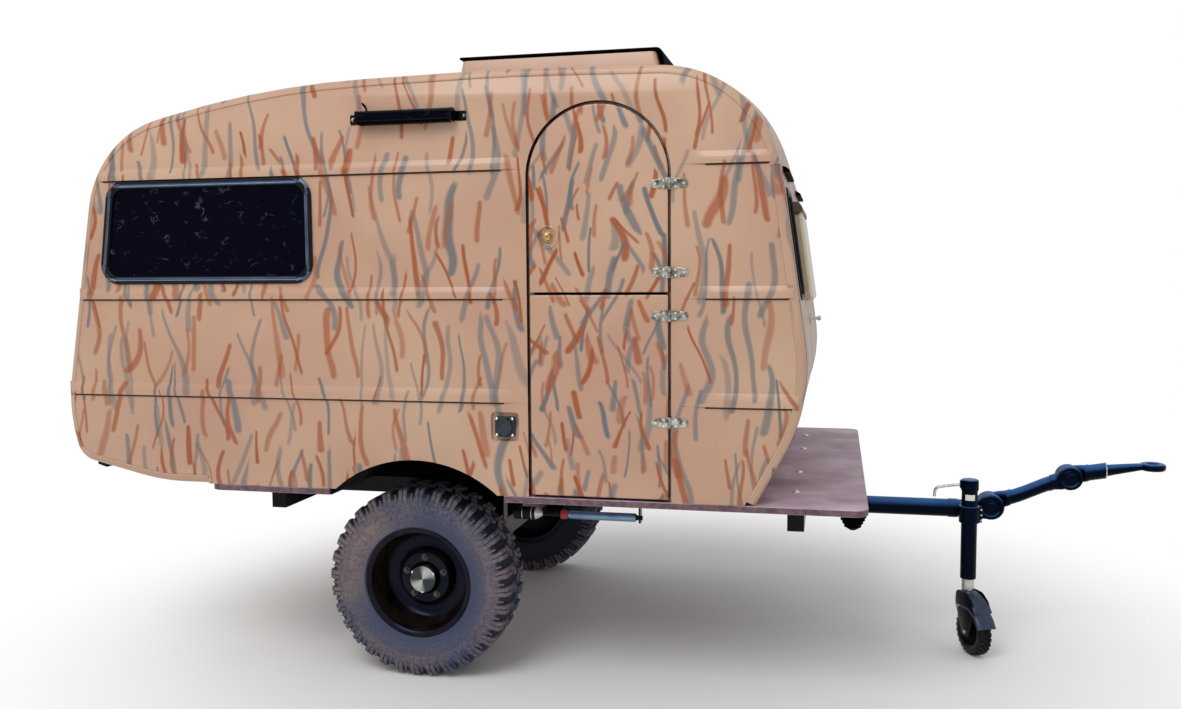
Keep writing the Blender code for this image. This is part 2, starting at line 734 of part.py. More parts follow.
def side_window(side, name):
    hole = window_outline(SIDE_WINDOW, WINDOW_CORNER_R, FIT_GAP)
    inner = window_outline(SIDE_WINDOW, WINDOW_CORNER_R, SEAL_WIDE)
    pane = window_outline(SIDE_WINDOW, WINDOW_CORNER_R, SEAL_WIDE + FIT_GAP)
    ends = sorted((side * (BODY_HALF - WALL), side * (BODY_HALF + SEAL_PROUD)))
    add(f"side_window_seal_{name}", ring_prism(hole, inner, "Y", *ends), "dark_rubber")
    skins = sorted((side * (BODY_HALF - GLASS_IN), side * (BODY_HALF - GLASS_IN - GLASS_THICK)))
    add(f"side_window_{name}", prism(pane, "Y", *skins), "tinted_acrylic")


def power_inlet(wall):
    """A square inlet with a round lid, in a square dish of the right-hand wall."""
    skin = -BODY_HALF
    floor = skin + INLET_DISH_DEEP
    half = INLET_DISH / 2
    x, z = INLET_X, INLET_Z
    cut(wall, box(x - half, x + half, skin - WALL, floor, z - half, z + half))
    half = INLET_BASE / 2
    base = rectangle(x - half, x + half, z - half, z + half, INLET_BASE_R)
    inlet = add("power_inlet", prism(base, "Y", skin - INLET_PROUD, floor - FIT_GAP), "black_plastic")
    face = skin - INLET_PROUD - INLET_LID_THICK
    edge = face + INLET_LID_THICK / 4
    lid = [(skin, 0.0), (skin, INLET_LID_R), (edge, INLET_LID_R), (face, INLET_LID_R * 0.92), (face, 0.0)]
    join(inlet, turned(lid, "Y", (x, 0.0, z)))


def door_leaf(name, outline, hinges):
    """One half of the stable door with its hinge leaves."""
    skin = DOOR_IN - BODY_HALF
    pin = (HINGE_X, -(BODY_HALF + HINGE_OUT), 0.0)
    # The hinge's wing ends just short of the barrel, all through its turn
    lean = HINGE_OUT + DOOR_IN - HINGE_SHEET
    near = HINGE_X - math.sqrt((HINGE_BARREL_R + PIN_GAP) ** 2 - lean ** 2)
    far = HINGE_X - HINGE_LEAF
    leaf = add(name, prism(outline, "Y", skin, skin + DOOR_THICK), "camouflage_gelcoat", at=pin)
    for z in hinges:
        tall, tip = HINGE_TALL / 2, HINGE_TIP_TALL / 2
        wing = [(near, z - tall), (near, z + tall), (far, z + tip), (far, z - tip)]
        join(leaf, prism(wing, "Y", skin - HINGE_SHEET, skin + OVERLAP))
    return leaf


def door():
    """Both leaves, the lock and the wall halves of the four hinges."""
    gap = DOOR_GAP
    lower_top = DOOR_SPLIT_Z - DOOR_SPLIT_GAP / 2
    upper_low = DOOR_SPLIT_Z + DOOR_SPLIT_GAP / 2
    upper = door_leaf("door_upper", door_outline(gap, upper_low), HINGE_ZS[:2])
    door_leaf("door_lower", door_outline(gap, DOOR_FOOT_Z, lower_top), HINGE_ZS[2:])
    skin = DOOR_IN - BODY_HALF
    seat = skin + LOCK_DISH_DEEP
    clear = skin - LOCK_DISH_DEEP
    dish = [(clear, 0), (clear, LOCK_DISH_R), (seat, LOCK_DISH_R - LOCK_DISH_DEEP / 2), (seat, 0)]
    cut(upper, turned(dish, "Y", (LOCK_X, 0.0, LOCK_Z)))
    knob = [(seat - FIT_GAP, 0)] + [(seat - out, radius) for out, radius in LOCK_STEPS]
    knob.append((seat - LOCK_STEPS[-1][0], 0))
    add("door_lock", turned(knob, "Y", (LOCK_X, 0.0, LOCK_Z)), "brass")
    pin_y = -(BODY_HALF + HINGE_OUT)
    for k, z in enumerate(HINGE_ZS, 1):
        tall, tip = HINGE_TALL / 2, HINGE_TIP_TALL / 2
        far = HINGE_X + HINGE_LEAF
        outline = [(HINGE_X, z - tall), (far, z - tip), (far, z + tip), (HINGE_X, z + tall)]
        face = -(BODY_HALF + FIT_GAP)
        half = add(f"hinge_{k}", prism(outline, "Y", face - HINGE_SHEET, face), "bright_zinc")
        barrel = prism(circle((HINGE_X, pin_y), HINGE_BARREL_R, 12), "Z", z - tall, z + tall)
        join(half, barrel)


# Front and rear windows sit on sloping faces; their meshes are in the face's own frame
def face_level(spot, up, z):
    """Distance up a sloping face from its reference spot to a height."""
    return (z - spot.y) / up.y


def front_windows(wall):
    """Two fixed panes and the hinged middle one."""
    low = face_level(FRONT_SPOT, FRONT_UP, FRONT_PANE_LOW)
    high = face_level(FRONT_SPOT, FRONT_UP, FRONT_PANE_HIGH)
    for name, y0, y1 in FRONT_PANES:
        corners = ((y0, low), (y1, low), (y1, high), (y0, high))
        hole = window_outline(corners, FRONT_PANE_R)
        cut(wall, prism(hole, "X", -2 * WALL, WALL), at=FRONT_AT, tilt=FRONT_TILT)
        depth = (-FRONT_PANE_IN - FRONT_PANE_THICK, -FRONT_PANE_IN)
        pane = prism(inset(hole, FIT_GAP), "X", *depth)
        add(f"front_window_{name}", pane, "tinted_acrylic", FRONT_AT, FRONT_TILT)
    low = face_level(FRONT_SPOT, FRONT_UP, VENT_LOW)
    high = face_level(FRONT_SPOT, FRONT_UP, VENT_HIGH)
    lap = VENT_LAP
    opening = rectangle(-VENT_HALF + lap, VENT_HALF - lap, low + lap, high - lap, VENT_CORNER_R)
    cut(wall, prism(opening, "X", -2 * WALL, WALL), at=FRONT_AT, tilt=FRONT_TILT)
    sheet = rectangle(-VENT_HALF, VENT_HALF, low, high, VENT_CORNER_R)
    plate = prism(sheet, "X", VENT_OUT - VENT_THICK, VENT_OUT)
    pane = add("front_window_middle", plate, "clear_acrylic", FRONT_AT, FRONT_TILT)
    rim_in = inset(sheet, VENT_RIM)
    rim = ring_prism(sheet, rim_in, "X", FIT_GAP, VENT_OUT - VENT_THICK + OVERLAP)
    join(pane, rim, at=FRONT_AT, tilt=FRONT_TILT)
    rail_low = high + FIT_GAP
    rail_out = VENT_OUT + VENT_RAIL_PROUD
    rail = rounded([
        (FIT_GAP, rail_low, 0),
        (rail_out, rail_low, 0),
        (rail_out, rail_low + VENT_RAIL, VENT_CORNER_R),
        (FIT_GAP, rail_low + VENT_RAIL, 0),
    ])
    add("front_window_rail", prism(rail, "Y", -VENT_HALF, VENT_HALF), "brown_plastic", FRONT_AT, FRONT_TILT)


def rear_fittings(wall):
    """Rear window, tail lamps and the blank number plate."""
    low = face_level(REAR_SPOT, REAR_UP, REAR_WINDOW_LOW)
    high = face_level(REAR_SPOT, REAR_UP, REAR_WINDOW_HIGH)
    half = REAR_WINDOW_HALF
    corners = ((-half, low), (half, low), (half, high), (-half, high))
    opening = window_outline(corners, WINDOW_CORNER_R)
    cut(wall, prism(opening, "X", -WALL, 2 * WALL), at=REAR_AT, tilt=REAR_TILT)
    hole = window_outline(corners, WINDOW_CORNER_R, FIT_GAP)
    inner = window_outline(corners, WINDOW_CORNER_R, SEAL_WIDE)
    ring = ring_prism(hole, inner, "X", -SEAL_PROUD, WALL)
    add("rear_window_seal", ring, "dark_rubber", REAR_AT, REAR_TILT)
    outline = window_outline(corners, WINDOW_CORNER_R, SEAL_WIDE + FIT_GAP)
    pane = prism(outline, "X", GLASS_IN, GLASS_IN + GLASS_THICK)
    add("rear_window", pane, "tinted_acrylic", REAR_AT, REAR_TILT)
    low = face_level(REAR_SPOT, REAR_UP, LAMP_LOW)
    high = face_level(REAR_SPOT, REAR_UP, LAMP_HIGH)
    for name, side in SIDES:
        outline = rectangle(*sorted((side * LAMP_NEAR, side * LAMP_FAR)), low, high, LAMP_R)
        lamp = prism(outline, "X", -LAMP_PROUD, -FIT_GAP)
        add(f"tail_lamp_{name}", lamp, "lamp_lens", REAR_AT, REAR_TILT)
    plate = rectangle(-PLATE_HALF, PLATE_HALF, low - PLATE_MARGIN, high + PLATE_MARGIN, PLATE_R)
    add("number_plate", prism(plate, "X", -PLATE_THICK, -FIT_GAP), "plate_white", REAR_AT, REAR_TILT)


def roof_hatch(roof):
    """A framed opening in the roof and its lid, hinged at the front edge."""
    def level(z, wall):
        lean = HATCH_LEAN * max(0.0, z - HATCH_WAIST_Z) / (HATCH_TOP_Z - HATCH_WAIST_Z)
        trim = wall + lean
        half = HATCH_HALF - wall
        return rectangle(HATCH_REAR_X + trim, HATCH_FRONT_X - trim, -half, half, HATCH_CORNER_R)

    half = HATCH_HALF + FIT_GAP
    hole = rectangle(HATCH_REAR_X - FIT_GAP, HATCH_FRONT_X + FIT_GAP, -half, half, HATCH_CORNER_R)
    cut(roof, prism(hole, "Z", HATCH_FOOT_Z - WALL * 2, HATCH_TOP_Z))
    levels = (HATCH_FOOT_Z, HATCH_WAIST_Z, HATCH_TOP_Z)
    outlines = [(level(z, 0.0), z) for z in levels] + [(level(z, HATCH_WALL), z) for z in reversed(levels)]
    mesh = bmesh.new()
    loops = [[mesh.verts.new((p.x, p.y, z)) for p in outline] for outline, z in outlines]
    for one, two in zip(loops, loops[1:] + loops[:1]):
        bridge(mesh, one, two)
    upstand = add("hatch_upstand", mesh, "camouflage_gelcoat")
    pin_x = HATCH_FRONT_X + HATCH_PIN_AHEAD
    ledge_top = HATCH_PIN_Z - HATCH_PIN_R - FIT_GAP
    reach = (HATCH_FRONT_X - HATCH_LEAN + OVERLAP, pin_x + HATCH_PIN_R)
    join(upstand, box(*reach, -HATCH_PIN_HALF, HATCH_PIN_HALF, ledge_top - HATCH_LEDGE, ledge_top))
    top = HATCH_TOP_Z + RUNNING_GAP + LID_THICK
    front = HATCH_FRONT_X - HATCH_LEAN + LID_SKIRT_GAP + LID_THICK
    rear = HATCH_REAR_X + HATCH_LEAN - LID_REAR_LAP
    path = rounded([(rear, top, 0), (front, top, LID_CORNER_R), (pin_x, HATCH_PIN_Z, 0)], closed=False)
    outline = path + inset(path, -LID_THICK, closed=False)[::-1]
    pin = (pin_x, 0.0, HATCH_PIN_Z)
    lid = add("hatch_lid", prism(outline, "Y", -HATCH_HALF, HATCH_HALF), "black_plastic", at=pin)
    rod = circle((pin_x, HATCH_PIN_Z), HATCH_PIN_R, 12)
    join(lid, prism(rod, "Y", -HATCH_PIN_HALF, HATCH_PIN_HALF))


def light_bar():
    """A work light above the window, on two feet, with its lead into the wall."""
    skin = -(BODY_HALF + FIT_GAP)
    low, high = LIGHT_LOW, LIGHT_HIGH
    back, face = skin - LIGHT_BACK, skin - LIGHT_FACE
    section = [(back, low), (face, low), (face, high), (back, high)]
    section = rounded([(*corner, LIGHT_CORNER_R) for corner in section])
    bar = add("light_bar", prism(section, "X", LIGHT_REAR_X, LIGHT_FRONT_X), "black_enamel")
    tall = (low + LIGHT_CORNER_R, high - LIGHT_CORNER_R)
    sheet = LIGHT_FOOT_SHEET
    for x, ahead in ((LIGHT_REAR_X, -1), (LIGHT_FRONT_X, 1)):
        foot = box(*sorted((x, x + ahead * LIGHT_FOOT)), skin, skin - sheet, *tall)
        web = box(*sorted((x - ahead * sheet, x + ahead * sheet)), skin, (back + face) / 2, *tall)
        join(bar, foot, web)
    # The lead rises from the light, bends over and enters the wall above it
    x = LIGHT_REAR_X + LIGHT_FOOT
    y = (back + face) / 2
    rise = LIGHT_FOOT / 4
    route = [(0.0, y, FIT_GAP), (0.0, y, rise), (-rise, y, 2 * rise), (-1.8 * rise, y + rise / 2, 3 * rise)]
    route += [(-2 * rise, y + 2 * rise, 3 * rise), (-1.8 * rise, (y + skin) / 2 + rise / 2, 2.4 * rise)]
    route += [(-1.8 * rise, skin, 2.4 * rise)]
    lead = [(x + dx, along, high + dz) for dx, along, dz in route]
    add("light_bar_lead", swept(lead, LIGHT_LEAD_R, 8), "black_plastic")


# Running gear
def deck_outline():
    """The floor's outline from above, with a bay on each side for the wheel arch."""
    corner = DECK_CORNER_R
    half = BODY_HALF
    bay = (ARCH_X - bay_half(), ARCH_X + bay_half())
    bay_y = ARCH_INNER_Y - ARCH_SHEET - FIT_GAP
    right = [
        (DECK_REAR_X, -half, corner),
        (bay[0], -half, 0),
        (bay[0], -bay_y, 0),
        (bay[1], -bay_y, 0),
        (bay[1], -half, 0),
        (DECK_FRONT_X, -half, corner),
    ]
    left = [(x, -y, r) for x, y, r in reversed(right)]
    return rounded(right + left, step=math.radians(18))


def bay_half():
    """Half the length of the bay that the arch leaves at the underside of the deck."""
    return math.sqrt(ARCH_R ** 2 - (DECK_BOTTOM - ARCH_Z) ** 2) + FIT_GAP


def arch_line(radius):
    """The arch's curve between the points where it meets the underside of the deck."""
    rise = math.asin((DECK_BOTTOM - ARCH_Z) / ARCH_R)
    return arc((ARCH_X, ARCH_Z), radius, rise, math.pi - rise, ARCH_STEP)


def wheel_arch(side, name):
    """A sheet arch with its inner end wall, open to the outside and below."""
    outer = arch_line(ARCH_R - FIT_GAP)
    inner = arch_line(ARCH_R - ARCH_SHEET)
    near, far = side * (ARCH_INNER_Y - ARCH_SHEET), side * ARCH_OUTER_Y
    sheet = prism(outer + inner[::-1], "Y", min(near, far), max(near, far))
    arch = add(f"wheel_arch_{name}", sheet, "black_plastic")
    end = sorted((near, side * ARCH_INNER_Y))
    join(arch, prism(outer, "Y", *end))


def chassis():
    """Deck, frame under it, drawbar and axle beam."""
    add("deck", prism(deck_outline(), "Z", DECK_BOTTOM, DECK_TOP), "film_faced_ply")
    half = CROSS_WIDE / 2
    tall = (FRAME_BOTTOM, FRAME_TOP)
    front = box(CROSS_FRONT_X - half, CROSS_FRONT_X + half, -CROSS_HALF, CROSS_HALF, *tall)
    rear = box(CROSS_REAR_X - half, CROSS_REAR_X + half, -CROSS_HALF, CROSS_HALF, *tall)
    middle = box(DRAWBAR_REAR_X - half, DRAWBAR_REAR_X + half, -RAIL_Y, RAIL_Y, *tall)
    rails = [
        box(CROSS_REAR_X, CROSS_FRONT_X, y - RAIL_WIDE / 2, y + RAIL_WIDE / 2, *tall)
        for y in (-RAIL_Y, RAIL_Y)
    ]
    join(add("chassis_frame", front, "black_enamel"), rear, *rails, middle)

    length = (DRAWBAR_REAR_X, DRAWBAR_FRONT_X)
    bar = add("drawbar", prism(circle((0.0, DRAWBAR_Z), DRAWBAR_R), "X", *length), "black_enamel")
    for x in (DRAWBAR_REAR_X + half, CROSS_FRONT_X):
        join(bar, box(x - half, x + half, -CROSS_WIDE, CROSS_WIDE, DRAWBAR_Z, FRAME_BOTTOM - FIT_GAP))
    x, z = KNUCKLE_1
    fixed = prism(circle((x, z), KNUCKLE_1_R), "Y", -KNUCKLE_HALF, -FIT_GAP)
    deep = (OVERLAP - DRAWBAR_R, -FIT_GAP)
    neck = box(DRAWBAR_FRONT_X - CLAMP_WALL, x, *deep, DRAWBAR_Z - DRAWBAR_R * 0.8, z + DRAWBAR_R * 0.8)
    join(bar, fixed, neck)

    size = BEAM_SIZE / 2
    tube = box(BEAM_X - size, BEAM_X + size, -BEAM_HALF, BEAM_HALF, BEAM_Z - size, BEAM_Z + size)
    beam = add("axle_beam", tube, "black_enamel")
    long, wide = BEAM_BRACKET
    for y in (-RAIL_Y, RAIL_Y):
        span = (BEAM_X - long / 2, BEAM_X + long / 2, y - wide / 2, y + wide / 2)
        join(beam, box(*span, BEAM_Z, FRAME_BOTTOM - FIT_GAP))


def suspension(side, name):
    """Trailing arm with its spindle, and the damper under the sill."""
    near = BEAM_HALF + FIT_GAP
    ends = ((BEAM_X, BEAM_Z, ARM_HEAD_R), (0.0, AXLE_Z, ARM_FOOT_R))
    span = sorted((side * near, side * (near + ARM_THICK)))
    arm = add(f"suspension_arm_{name}", hull_plate(ends, "Y", *span), "black_enamel")
    disc = sorted(side * (near + ARM_THICK + out) for out in (-OVERLAP, BACKPLATE_THICK))
    spindle = sorted((side * near, side * SPINDLE_END_Y))
    join(
        arm,
        prism(circle((0.0, AXLE_Z), BACKPLATE_R, 28), "Y", *disc),
        prism(circle((0.0, AXLE_Z), SPINDLE_R, 16), "Y", *spindle),
    )
    y = side * DAMPER_Y
    profile = [(DAMPER_REAR_X, 0)] + [(DAMPER_REAR_X + x, r) for x, r in DAMPER_STEPS] + [(DAMPER_FRONT_X, 0)]
    damper = add(f"damper_{name}", turned(profile, "X", (0.0, y, DAMPER_Z), 14), "damper_paint")
    half = DAMPER_LUG / 2
    for x in (DAMPER_REAR_X + DAMPER_SHEET, DAMPER_FRONT_X - 2 * DAMPER_SHEET):
        join(damper, box(x, x + DAMPER_SHEET, y - half, y + half, DAMPER_Z - half, DECK_BOTTOM - FIT_GAP))


def tyre(hub):
    """A hollow tyre whose two rows of lugs reach from the sidewalls to the middle of the tread."""
    seat = (RIM_SEAT_R + FIT_GAP) / math.cos(math.pi / LUG_COUNT)
    tall = TYRE_R - seat
    pitch = math.tau / LUG_COUNT
    mesh = bmesh.new()

    def spot(wide, share, turn):
        """A vertex at a share of half the width and of the height, turned from straight down."""
        radius = seat + tall * share
        along = hub[1] + TYRE_HALF * wide
        return mesh.verts.new((hub[0] + radius * math.sin(turn), along, hub[2] - radius * math.cos(turn)))

    def plain_ring(wide, share):
        return [spot(wide, share, pitch * k) for k in range(LUG_COUNT)]

    def lug_ring(half, lug_wide, lug_share, groove_wide, groove_share):
        """One row of the tread: two corners of a lug, then two of a groove; the halves swap them."""
        lug, groove = (half * lug_wide, lug_share), (half * groove_wide, groove_share)
        first, second = (lug, groove) if half > 0 else (groove, lug)
        corners = (first, first, second, second)
        turns = [(k + edge) * pitch for k in range(LUG_COUNT) for edge in LUG_EDGES]
        return [spot(*corners[k % 4], turn) for k, turn in enumerate(turns)]

    bead = (RIM_FACE - RIM_SHEET - FIT_GAP) / TYRE_HALF
    section = [*TYRE_OUTSIDE, (bead, BEAD_SHARE), (bead, 0.0), *TYRE_INSIDE]
    section += [(-wide, share) for wide, share in reversed(section)]
    plain = [plain_ring(wide, share) for wide, share in section]
    for one, two in zip(plain, plain[1:]):
        bridge(mesh, one, two)
    rows = [(1, row) for row in reversed(TREAD_ROWS)] + [(-1, row) for row in TREAD_ROWS]
    lugs = [lug_ring(half, *row) for half, row in rows]
    for one, two in zip(lugs, lugs[1:]):
        bridge(mesh, one, two)
    for fine, coarse in ((lugs[0], plain[0]), (lugs[-1], plain[-1])):
        corners = len(LUG_EDGES)
        for k, root in enumerate(coarse):
            follows = coarse[(k + 1) % LUG_COUNT]
            span = [fine[(corners * k + j) % len(fine)] for j in range(corners + 1)]
            middle = corners // 2
            for j in range(corners):
                mesh.faces.new((span[j], span[j + 1], root if j < middle else follows))
            mesh.faces.new((root, span[middle], follows))
    return mesh


def wheel(side, name):
    """Tyre, steel rim, and the hub with its drum and cap."""
    hub = (0.0, side * TRACK_HALF, AXLE_Z)
    add(f"tyre_{name}", tyre(hub), "tyre_rubber", at=hub)

    face, sheet = RIM_FACE, RIM_SHEET
    tyre_side = [
        (face, RIM_FLANGE_R),
        (face - sheet, RIM_FLANGE_R),
        (face - sheet, RIM_SEAT_R),
        (WELL_OUT + WELL_SLOPE, RIM_SEAT_R),
        (WELL_OUT, RIM_WELL_R),
        (WELL_IN, RIM_WELL_R),
        (WELL_IN - WELL_SLOPE, RIM_SEAT_R),
        (-face + sheet, RIM_SEAT_R),
        (-face + sheet, RIM_FLANGE_R),
        (-face, RIM_FLANGE_R),
        (-face, RIM_SEAT_R - sheet),
        (WELL_IN - WELL_SLOPE - sheet, RIM_SEAT_R - sheet),
    ]
    disc = RIM_DISC
    hub_side = [
        (disc + RIM_DISH, DISC_RING_R),
        (disc, DISC_FLAT_R),
        (disc, RIM_PAD_FOOT_R),
        (RIM_PAD, RIM_PAD_R),
        (RIM_PAD, RIM_BORE_R),
        (RIM_PAD + sheet, RIM_BORE_R),
        (RIM_PAD + sheet, RIM_PAD_R + sheet),
        (disc + sheet, RIM_PAD_FOOT_R + sheet),
        (disc + sheet, DISC_FLAT_R),
        (disc + sheet + RIM_DISH, DISC_RING_R),
        (WELL_IN, RIM_WELL_R - sheet),
        (WELL_OUT, RIM_WELL_R - sheet),
        (WELL_OUT + WELL_SLOPE, RIM_SEAT_R - sheet),
        (face, RIM_SEAT_R - sheet),
    ]
    loop = [(side * a, r) for a, r in tyre_side + hub_side]
    add(f"rim_{name}", turned(loop, "Y", hub, RIM_SEGMENTS, loop=True), "black_enamel", at=hub)

    drum_face = disc - FIT_GAP
    bore = SPINDLE_R + PIN_GAP
    floor = SPINDLE_END_Y - TRACK_HALF + RUNNING_GAP
    profile = [
        (floor, 0),
        (floor, bore),
        (DRUM_BACK, bore),
        (DRUM_BACK, DRUM_R),
        (drum_face, DRUM_R),
        (drum_face, HUB_CAP_R),
        (HUB_FLANGE_IN, HUB_CAP_R),
        (HUB_FLANGE_IN, HUB_FLANGE_R),
        (HUB_CAP_END - HUB_CAP_EDGE, HUB_FLANGE_R),
        (HUB_CAP_END, HUB_FLANGE_R - HUB_CAP_EDGE),
        (HUB_CAP_END, 0),
    ]
    drum = turned([(side * a, r) for a, r in profile], "Y", hub, RIM_SEGMENTS)
    add(f"hub_{name}", drum, "bright_zinc", at=hub)


# Jockey wheel
def jockey():
    """Clamp on the drawbar, tube with crank, sliding inner tube, fork and wheel."""
    middle = (JOCKEY_X, JOCKEY_Y)
    bore = JOCKEY_TUBE_R + PIN_GAP
    sleeve = prism(circle(middle, bore + CLAMP_WALL, 24), "Z", CLAMP_LOW, CLAMP_HIGH)
    clamp = add("jockey_clamp", sleeve, "black_enamel")
    half = CLAMP_PAD / 2
    join(clamp, box(JOCKEY_X - half, JOCKEY_X + half, JOCKEY_Y, -DRAWBAR_R - FIT_GAP, CLAMP_LOW, CLAMP_HIGH))
    cut(clamp, prism(circle(middle, bore, 24), "Z", CLAMP_LOW - CLAMP_WALL, CLAMP_HIGH + CLAMP_WALL))

    centre = (JOCKEY_X, JOCKEY_Y, 0.0)
    bore_top = JOCKEY_HEAD_Z - JOCKEY_HEAD_WALL
    profile = [
        (bore_top, 0),
        (bore_top, JOCKEY_BORE_R),
        (JOCKEY_TUBE_LOW, JOCKEY_BORE_R),
        (JOCKEY_TUBE_LOW, JOCKEY_TUBE_R),
        (JOCKEY_HEAD_Z, JOCKEY_TUBE_R),
        (JOCKEY_HEAD_Z, JOCKEY_HEAD_R),
        (JOCKEY_TOP_Z, JOCKEY_HEAD_R),
        (JOCKEY_TOP_Z, 0),
    ]
    tube = add("jockey_tube", turned(profile, "Z", centre, 24), "black_enamel", at=centre)
    crank = [(JOCKEY_X - behind, JOCKEY_Y, z) for behind, z in CRANK_ROUTE]
    join(tube, swept(crank, CRANK_R, 10))

    pin = CASTER_PIN_R + PIN_GAP
    pin_top = JOCKEY_INNER_LOW + CASTER_PIN_TALL
    profile = [
        (pin_top + RUNNING_GAP, 0),
        (pin_top + RUNNING_GAP, pin),
        (JOCKEY_INNER_LOW, pin),
        (JOCKEY_INNER_LOW, JOCKEY_INNER_R),
        (JOCKEY_INNER_TOP, JOCKEY_INNER_R),
        (JOCKEY_INNER_TOP, 0),
    ]
    add("jockey_inner_tube", turned(profile, "Z", centre, 24), "bright_zinc", at=centre)

    # The fork is modelled facing +X and then turned about the tube
    hub = Vector((CASTER_TRAIL, 0.0, CASTER_R))
    cheek = CASTER_WIDE / 2 + RUNNING_GAP
    plate = FORK_PLATE
    rear, front = FORK_REACH
    crown_low = hub.z + CASTER_R + RUNNING_GAP
    spin = Matrix.Translation(centre) @ Matrix.Rotation(CASTER_TURN, 4, "Z")

    def stood(mesh):
        bmesh.ops.transform(mesh, matrix=spin, verts=mesh.verts)
        return mesh

    crown = box(rear, front, -cheek - plate, cheek + plate, crown_low, JOCKEY_INNER_LOW - PIN_GAP)
    fork = add("jockey_fork", stood(crown), "black_enamel", at=centre)
    top = crown_low + OVERLAP
    foot = hub.z - FORK_EYE
    outline = [(rear, top), (hub.x - FORK_EYE, foot), (hub.x + FORK_EYE, foot), (front, top)]
    for y in (-cheek - plate, cheek):
        join(fork, stood(prism(outline, "Y", y, y + plate)))
    hood_in = CASTER_R + RUNNING_GAP
    hood = arc((hub.x, hub.z), hood_in + HOOD_SHEET, *HOOD_TURNS)
    hood += arc((hub.x, hub.z), hood_in, *HOOD_TURNS)[::-1]
    reach = cheek + OVERLAP
    join(
        fork,
        stood(prism(hood, "Y", -cheek - plate, cheek + plate)),
        stood(prism(circle((0.0, 0.0), CASTER_PIN_R, 12), "Z", top, pin_top)),
        stood(prism(circle((hub.x, hub.z), CASTER_PIN_R, 12), "Y", -reach, reach)),
    )
    wide = CASTER_WIDE / 2
    half = [(wide * share, CASTER_R - depth) for share, depth in CASTER_STEPS]
    half.append((wide, CASTER_PIN_R + PIN_GAP))
    profile = half + [(-along, radius) for along, radius in reversed(half)]
    tread = stood(turned(profile, "Y", hub, 20, loop=True))
    add("jockey_wheel", tread, "tyre_rubber", at=tuple(spin @ hub))


# Coupling
def coupling():
    """Arm between the two clamped knuckles, and the socket with the tow eye."""
    x1, z1 = KNUCKLE_1
    x2, z2 = KNUCKLE_2
    first = (x1, 0.0, z1)
    second = (x2, 0.0, z2)
    half, tight = KNUCKLE_HALF, KNUCKLE_HALF - KNUCKLE_STEP
    start = x1 + KNUCKLE_1_R + RUNNING_GAP
    stop = x2 - KNUCKLE_2_R - RUNNING_GAP
    route = [(start + (stop - start) * share, z1 + (z2 - z1) * rise) for share, rise in ARM_ROUTE]
    low, high = route[0][1], route[-1][1]
    disc = prism(circle((x1, z1), KNUCKLE_1_R), "Y", FIT_GAP, half)
    arm = add("coupling_arm", disc, "black_enamel", at=first)
    neck = KNUCKLE_NECK
    inside = ARM_TUBE_R - OVERLAP
    near = start + neck
    rear_neck = [(x1, z1 - neck), (near, low - neck), (near, low + neck), (x1, z1 + 2 * neck)]
    near = stop - neck
    front_neck = [(near, high - neck), (x2, z2 - 1.5 * neck), (x2, z2 + 1.5 * neck), (near, high + neck)]
    join(
        arm,
        swept([(x, 0.0, z) for x, z in route], ARM_TUBE_R, 16),
        prism(rear_neck, "Y", FIT_GAP, inside),
        prism(front_neck, "Y", -inside, -FIT_GAP),
        prism(circle((x2, z2), KNUCKLE_2_R), "Y", -tight, -FIT_GAP),
    )

    disc = prism(circle((x2, z2), KNUCKLE_2_R), "Y", FIT_GAP, tight)
    eye = add("tow_eye", disc, "black_enamel", at=second)
    socket = x2 + KNUCKLE_2_R + RUNNING_GAP
    low = z2 + SOCKET_STEPS[0][1]
    near = socket + neck
    outline = [(x2, z2 - 1.5 * neck), (near, low - neck), (near, low + neck), (x2, z2 + 1.5 * neck)]
    rings = []
    for ahead, rise, radius in SOCKET_STEPS:
        x = EYE_X - EYE_R + EYE_STEM if ahead is None else socket + ahead
        rings.append([(x, radius * p.x, z2 + rise + radius * p.y) for p in circle((0.0, 0.0), 1.0, 16)])
    half = EYE_THICK / 2
    ring = prism(circle((EYE_X, 0.0), EYE_R, 28), "Z", EYE_Z - half, EYE_Z + half)
    join(eye, prism(outline, "Y", FIT_GAP, SOCKET_STEPS[0][2] - OVERLAP), loft(rings), ring)
    cut(eye, prism(circle((EYE_X, 0.0), EYE_HOLE_R), "Z", EYE_Z - EYE_THICK, EYE_Z + EYE_THICK))


def rear_path():
    """The line just under the sloping foot of the rear wall, from rear to front."""
    path = inset(PROFILE, -FIT_GAP, closed=False)
    lowest = min(range(len(path)), key=lambda k: path[k].x)
    return path[lowest:]


def rear_foot(x):
    """Where that line passes a place along the body."""
    path = rear_path()
    for p, q in zip(path, path[1:]):
        if p.x < x <= q.x:
            return p.lerp(q, (x - p.x) / (q.x - p.x))
    raise ValueError("the rear wall has no foot at this place")


def small_fittings():
    """Ribbed cowl under the deck's front corner and the bar under the rear corner."""
    top = DECK_BOTTOM - FIT_GAP
    profile = [(top, 0)] + [(top - drop, radius) for drop, radius in COWL_STEPS]
    profile.append((top - COWL_STEPS[-1][0], 0))
    add("deck_cowl", turned(profile, "Z", (COWL_X, COWL_Y, 0.0), 16), "black_plastic")
    rear, front = (rear_foot(x) for x in REAR_BAR_X)
    between = [p for p in rear_path() if rear.x < p.x < front.x]
    drop = Vector((0.0, REAR_BAR_TALL))
    section = [rear, *between, front, front - drop, rear - drop]
    add("rear_bar", prism(section, "Y", -REAR_BAR_HALF, REAR_BAR_HALF), "black_enamel")


